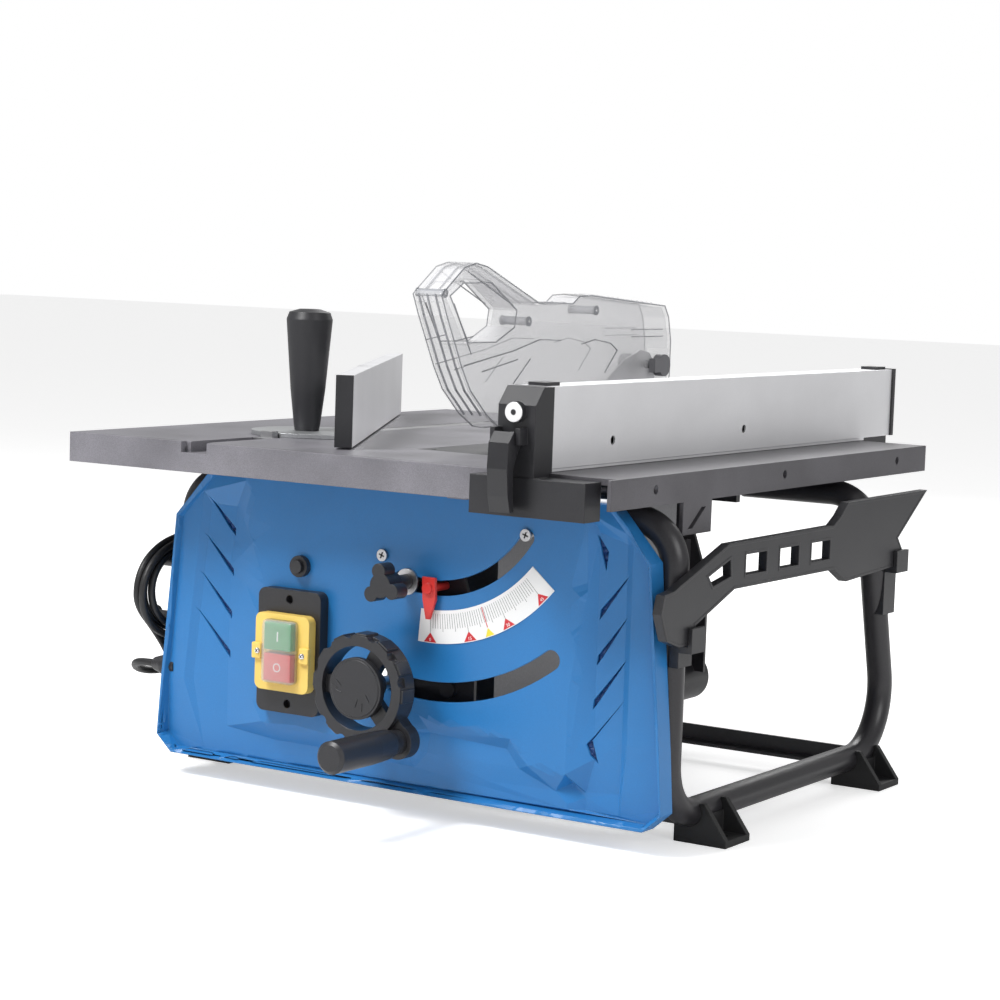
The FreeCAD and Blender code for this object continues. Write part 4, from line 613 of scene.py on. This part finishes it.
# %% Clear cover
cover_low, cover_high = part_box("switch_cover")
cover = bmesh.new()
slab(cover, cover_low, cover_high)
bmesh.ops.delete(cover, geom=[f for f in cover.faces if f.normal.y > 0.9], context="FACES_ONLY")
bmesh.ops.bevel(cover, geom=[e for e in cover.edges if not e.is_boundary], offset=0.0045, segments=4, profile=0.5,
                affect="EDGES", material=-1)
wall = piece("clear_cover", cover, "stand", "clear_plastic", sharp=40)
thick = wall.modifiers.new("wall", "SOLIDIFY")
thick.thickness = 0.0011
thick.offset = -1
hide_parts("switch_cover")

# %% Signs on the buttons
start_low, start_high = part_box("start_button")
stop_low, stop_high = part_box("stop_button")
white = finish("sign_white", (0.8, 0.8, 0.8), 0.45, vary=0.03, edge=0.0)
bar = bmesh.new()
mid = (start_low + start_high) / 2
slab(bar, (mid.x - 0.0007, start_low.y - 0.0002, mid.z - 0.0045),
     (mid.x + 0.0007, start_low.y + 0.0003, mid.z + 0.0045))
piece("start_sign", bar, "start_button", "scale_plate", coat=white)
ring = bmesh.new()
mid = (stop_low + stop_high) / 2
section = [ring.verts.new(mid + Vector((r, stop_low.y - mid.y + dy, 0))) for r, dy in
           ((0.0032, 0.0003), (0.0032, -0.0002), (0.0042, -0.0002), (0.0042, 0.0003))]
profile = ring.faces.new(section)
bmesh.ops.spin(ring, geom=profile.edges[:] + section, cent=mid, axis=(0, 1, 0), angle=math.tau, steps=28,
               use_merge=True)
bmesh.ops.delete(ring, geom=[profile], context="FACES_ONLY")
bmesh.ops.remove_doubles(ring, verts=ring.verts, dist=1e-6)
piece("stop_sign", ring, "stop_button", "scale_plate", coat=white)

# %% [markdown]
# ## Blade guard
# The guard is a clear moulding. A comb of small teeth lies on its back, tubes cross
# it from side to side, and fine ribs run along its handle and its two side faces.

# %% Guard comb and tubes
comb = bmesh.new()
for step in range(13):
    y = 306 + step * 9.6
    z = 145.9 - (y - 296) * 0.068
    slab(comb, at(370, y, z - 0.8), at(390, y + 5.0, z + 1.4))
piece("guard_comb", comb, "guard", "guard_clear", bevel=0.0006)
# The guard's ribs, tubes and edges get a greyer, denser copy of its clear plastic: painted shade for the dark lines
# that clear mouldings show at their edges.
painted_rib_shade = clear("guard_rim_painted_shade", (0.42, 0.43, 0.46), 0.12, 1.5, 0.1, (0.55, 0.95))
tubes = bmesh.new()
tube_screws = bmesh.new()
for y, z, radius in ((46, 146.5, 3.4), (186, 121, 3.9), (308, 131, 3.9)):
    # a tube, then a collar at each of its ends
    for start, reach, grown in ((365.6, 28.8, 0), (364.8, 1.2, 0.7), (394.0, 1.2, 0.7)):
        bolt(tubes, at(start, y, z), (1, 0, 0), (radius + grown) * 0.001, reach * 0.001, 28)
    bolt(tube_screws, at(395.2, y, z), (1, 0, 0), 0.0019, 0.0004, 20, 0.0014)
piece("guard_tubes", tubes, "guard", "guard_clear", coat=painted_rib_shade)
piece("guard_screws", tube_screws, "guard", "chrome")


# %% Guard ribs
def rib(shape, path, xs, wide, high):
    """Square ribs along a path of (y, z) points, one for each x."""
    for (y0, z0), (y1, z1) in zip(path, path[1:]):
        run = Vector((0, y1 - y0, z1 - z0))
        turn = Matrix.Rotation(math.atan2(run.z, run.y), 4, "X")
        for x in xs:
            place = Matrix.Translation(at(x, (y0 + y1) / 2, (z0 + z1) / 2)) @ turn
            size = Vector((wide, run.length + high * 0.5, high)) * 0.001
            bmesh.ops.create_cube(shape, size=1.0, matrix=place @ Matrix.Diagonal((*size, 1)))


guard_sides = (364.8, 395.2)    # just outside the guard's two side faces
front_ribs = bmesh.new()
rib(front_ribs, [(118, 36), (90, 59), (75, 80), (48, 127), (39, 145)], (371, 380, 389), 1.3, 1.6)
rib(front_ribs, [(48, 150), (75, 168.8), (94, 172.8), (113, 169.8), (204, 137)], (373, 387), 1.3, 1.4)
rib(front_ribs, [(204, 138), (263, 138)], (373, 387), 1.3, 1.2)
piece("guard_front_ribs", front_ribs, "guard", "guard_clear", coat=painted_rib_shade)
side_ribs = bmesh.new()
for path in ([(79, 82), (160, 94), (206, 104), (243, 103)], [(109, 76), (168, 86)], [(162, 64), (190, 86)],
             [(282, 99), (307, 103), (337, 99), (350, 92), (328, 71)], [(377, 112), (439, 112)],
             [(378, 105), (440, 105)], [(60, 137), (90, 92)], [(80, 166), (157, 136)], [(62, 104), (92, 108)]):
    rib(side_ribs, path, guard_sides, 0.8, 0.9)
piece("guard_side_ribs", side_ribs, "guard", "guard_clear", coat=painted_rib_shade)

# %% [markdown]
# ## Handwheel and push stick
# The wheel's rim has raised grips and its hub a stepped face with a few moulded
# marks. The push stick is a moulding with a raised rim along its outline, and the
# guard's side plates end in such a rim too. It is an inset band of the flat face,
# pushed outwards, so it follows any outline.

# %% Wheel grips and hub face
wheel = at(338, 6, -208)
grips = bmesh.new()
for step in range(12):
    turn = math.radians(30 * step - 3)
    if -75 < (30 * step + 177) % 360 - 180 < -20:    # the crank's lobe takes this part of the rim
        continue
    spot = wheel + Vector((math.cos(turn), 0, math.sin(turn))) * 0.0475 + Vector((0, 0.0125, 0))
    place = Matrix.Translation(spot) @ Matrix.Rotation(-turn, 4, "Y")
    bmesh.ops.create_cube(grips, size=1.0, matrix=place @ Matrix.Diagonal((0.0042, 0.0190, 0.0128, 1)))
piece("wheel_grips", grips, "handwheel", "black_plastic", bevel=0.0012, steps=2)
hub = bmesh.new()
bolt(hub, wheel + Vector((0, 0.0006, 0)), (0, -1, 0), 0.0262, 0.0014, 48, 0.0256)
piece("wheel_hub_step", hub, "handwheel", "black_plastic", bevel=0.0004)
signs = bmesh.new()
for turn, reach in ((168, 0.018), (180, 0.0215), (192, 0.018), (-28, 0.016), (-62, 0.018), (-80, 0.013)):
    turn = math.radians(turn)
    spot = wheel + Vector((math.cos(turn), 0, math.sin(turn))) * reach + Vector((0, -0.0009, 0))
    place = Matrix.Translation(spot) @ Matrix.Rotation(-turn + 0.5, 4, "Y")
    bmesh.ops.create_cube(signs, size=1.0, matrix=place @ Matrix.Diagonal((0.0072, 0.0006, 0.0009, 1)))
piece("wheel_hub_signs", signs, "handwheel", "black_plastic")

# %% Raised outlines
def outline_bands(node, wide, high):
    """Raised bands that follow the outline of a plate's two side faces."""
    low, high_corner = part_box(node)
    total = bmesh.new()
    for hand, face_x in ((-1, low.x), (1, high_corner.x)):
        band = copied(node)
        bmesh.ops.delete(band, geom=[f for f in band.faces if not (f.normal.x * hand > 0.9 and
                         abs(f.calc_center_median().x - face_x) < 1e-4)], context="FACES")
        bmesh.ops.dissolve_limit(band, angle_limit=0.01, verts=band.verts, edges=band.edges)
        border = bmesh.ops.inset_region(band, faces=band.faces[:], thickness=wide,
                                        use_boundary=True, use_even_offset=True)
        keep = set(border["faces"])
        bmesh.ops.delete(band, geom=[f for f in band.faces if f not in keep], context="FACES")
        raised = bmesh.ops.extrude_face_region(band, geom=band.faces[:])["geom"]
        bmesh.ops.translate(band, vec=(hand * high, 0, 0),
                            verts=[g for g in raised if isinstance(g, bmesh.types.BMVert)])
        store = bpy.data.meshes.new("store")
        band.to_mesh(store)
        band.free()
        total.from_mesh(store)
        bpy.data.meshes.remove(store)
    return total


piece("guard_edges", outline_bands("blade_guard", 0.0012, 0.0005), "guard", "guard_clear", coat=painted_rib_shade)
piece("stick_rim", outline_bands("push_stick", 0.0026, 0.00022), "push_stick", "black_plastic", bevel=0.00008)

# %% [markdown]
# ## Fence washer and guard knob
# A bright washer with a dark centre sits on the adjusting nut of the fence's head.

# %% Fence washer
washer = bmesh.new()
bolt(washer, at(519, -30.9, 52), (0, -1, 0), 0.0086, 0.0007, 40, 0.0082)
# Painted reflection: the plated washer is given a near-white colour for the bright studio it mirrors.
washer_painted_reflection = finish("washer_painted_reflection", (0.92, 0.92, 0.93), 0.25, metal=0.35, vary=0.03, bump=0.03)
piece("fence_washer", washer, "rip_fence", "chrome", coat=washer_painted_reflection)
dot = bmesh.new()
bolt(dot, at(519, -31.5, 52), (0, -1, 0), 0.0026, 0.0006, 24, 0.0022)
piece("fence_nut_dot", dot, "rip_fence", "black_plastic")

# %% Smoked knob on the guard's pivot
smoke = finish("smoke", (0.16, 0.16, 0.17), 0.22, vary=0.1)
for place in nodes["guard_knob"].material_slots:
    place.material = smoke

# %% [markdown]
# ## Stage
# A plain pale floor and soft lights on three sides. The camera sees the floor and the
# world as white, and the saw is lit by a dimmer world, so that its faces keep contrast.

# %% Floor and lights
floor_mesh = bmesh.new()
bmesh.ops.create_grid(floor_mesh, x_segments=1, y_segments=1, size=14.0)
floor_data = bpy.data.meshes.new("studio_floor")
floor_mesh.to_mesh(floor_data)
floor_mesh.free()
studio = bpy.data.objects.new("studio_floor", floor_data)
pale = finish("studio_white", (0.90, 0.90, 0.90), 0.7, vary=0.01, bump=0.0, edge=0.0)
pale_shader = pale.node_tree.nodes["Principled BSDF"]
pale_shader.inputs["Emission Color"].default_value = (1, 1, 1, 1)
straight = pale.node_tree.nodes.new("ShaderNodeLightPath")
lift = pale.node_tree.nodes.new("ShaderNodeMath")
lift.operation = "MULTIPLY"
lift.inputs[1].default_value = 0.50
pale.node_tree.links.new(straight.outputs["Is Camera Ray"], lift.inputs[0])
pale.node_tree.links.new(lift.outputs[0], pale_shader.inputs["Emission Strength"])
floor_data.materials.append(pale)
bpy.context.scene.collection.objects.link(studio)
studio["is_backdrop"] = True

world = bpy.data.worlds.new("studio")
world.use_nodes = True
glow = world.node_tree.nodes["Background"]
glow.inputs["Color"].default_value = (1, 1, 1, 1)
seen = world.node_tree.nodes.new("ShaderNodeLightPath")
level_of = world.node_tree.nodes.new("ShaderNodeMapRange")
level_of.inputs["To Min"].default_value = 0.42
level_of.inputs["To Max"].default_value = 1.0
world.node_tree.links.new(seen.outputs["Is Camera Ray"], level_of.inputs["Value"])
world.node_tree.links.new(level_of.outputs["Result"], glow.inputs["Strength"])
bpy.context.scene.world = world


def soft_light(name, where, target, power, size):
    lamp = bpy.data.lights.new(name, "AREA")
    lamp.energy = power
    lamp.shape = "RECTANGLE"
    lamp.size, lamp.size_y = size
    holder = bpy.data.objects.new(name, lamp)
    holder.location = where
    holder.rotation_euler = (Vector(target) - Vector(where)).to_track_quat("-Z", "Y").to_euler()
    bpy.context.scene.collection.objects.link(holder)


soft_light("key", (-0.7, -1.6, 2.3), (0, 0, 0.2), 78, (0.9, 0.9))
soft_light("fill", (2.2, -0.8, 1.2), (0, 0, 0.2), 18, (1.4, 1.0))
soft_light("rear", (-0.4, 2.2, 1.8), (0, 0, 0.3), 30, (1.8, 1.0))
bpy.context.scene.view_settings.view_transform = "Standard"
print("lights", 3)

# %% Finish
low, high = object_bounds()
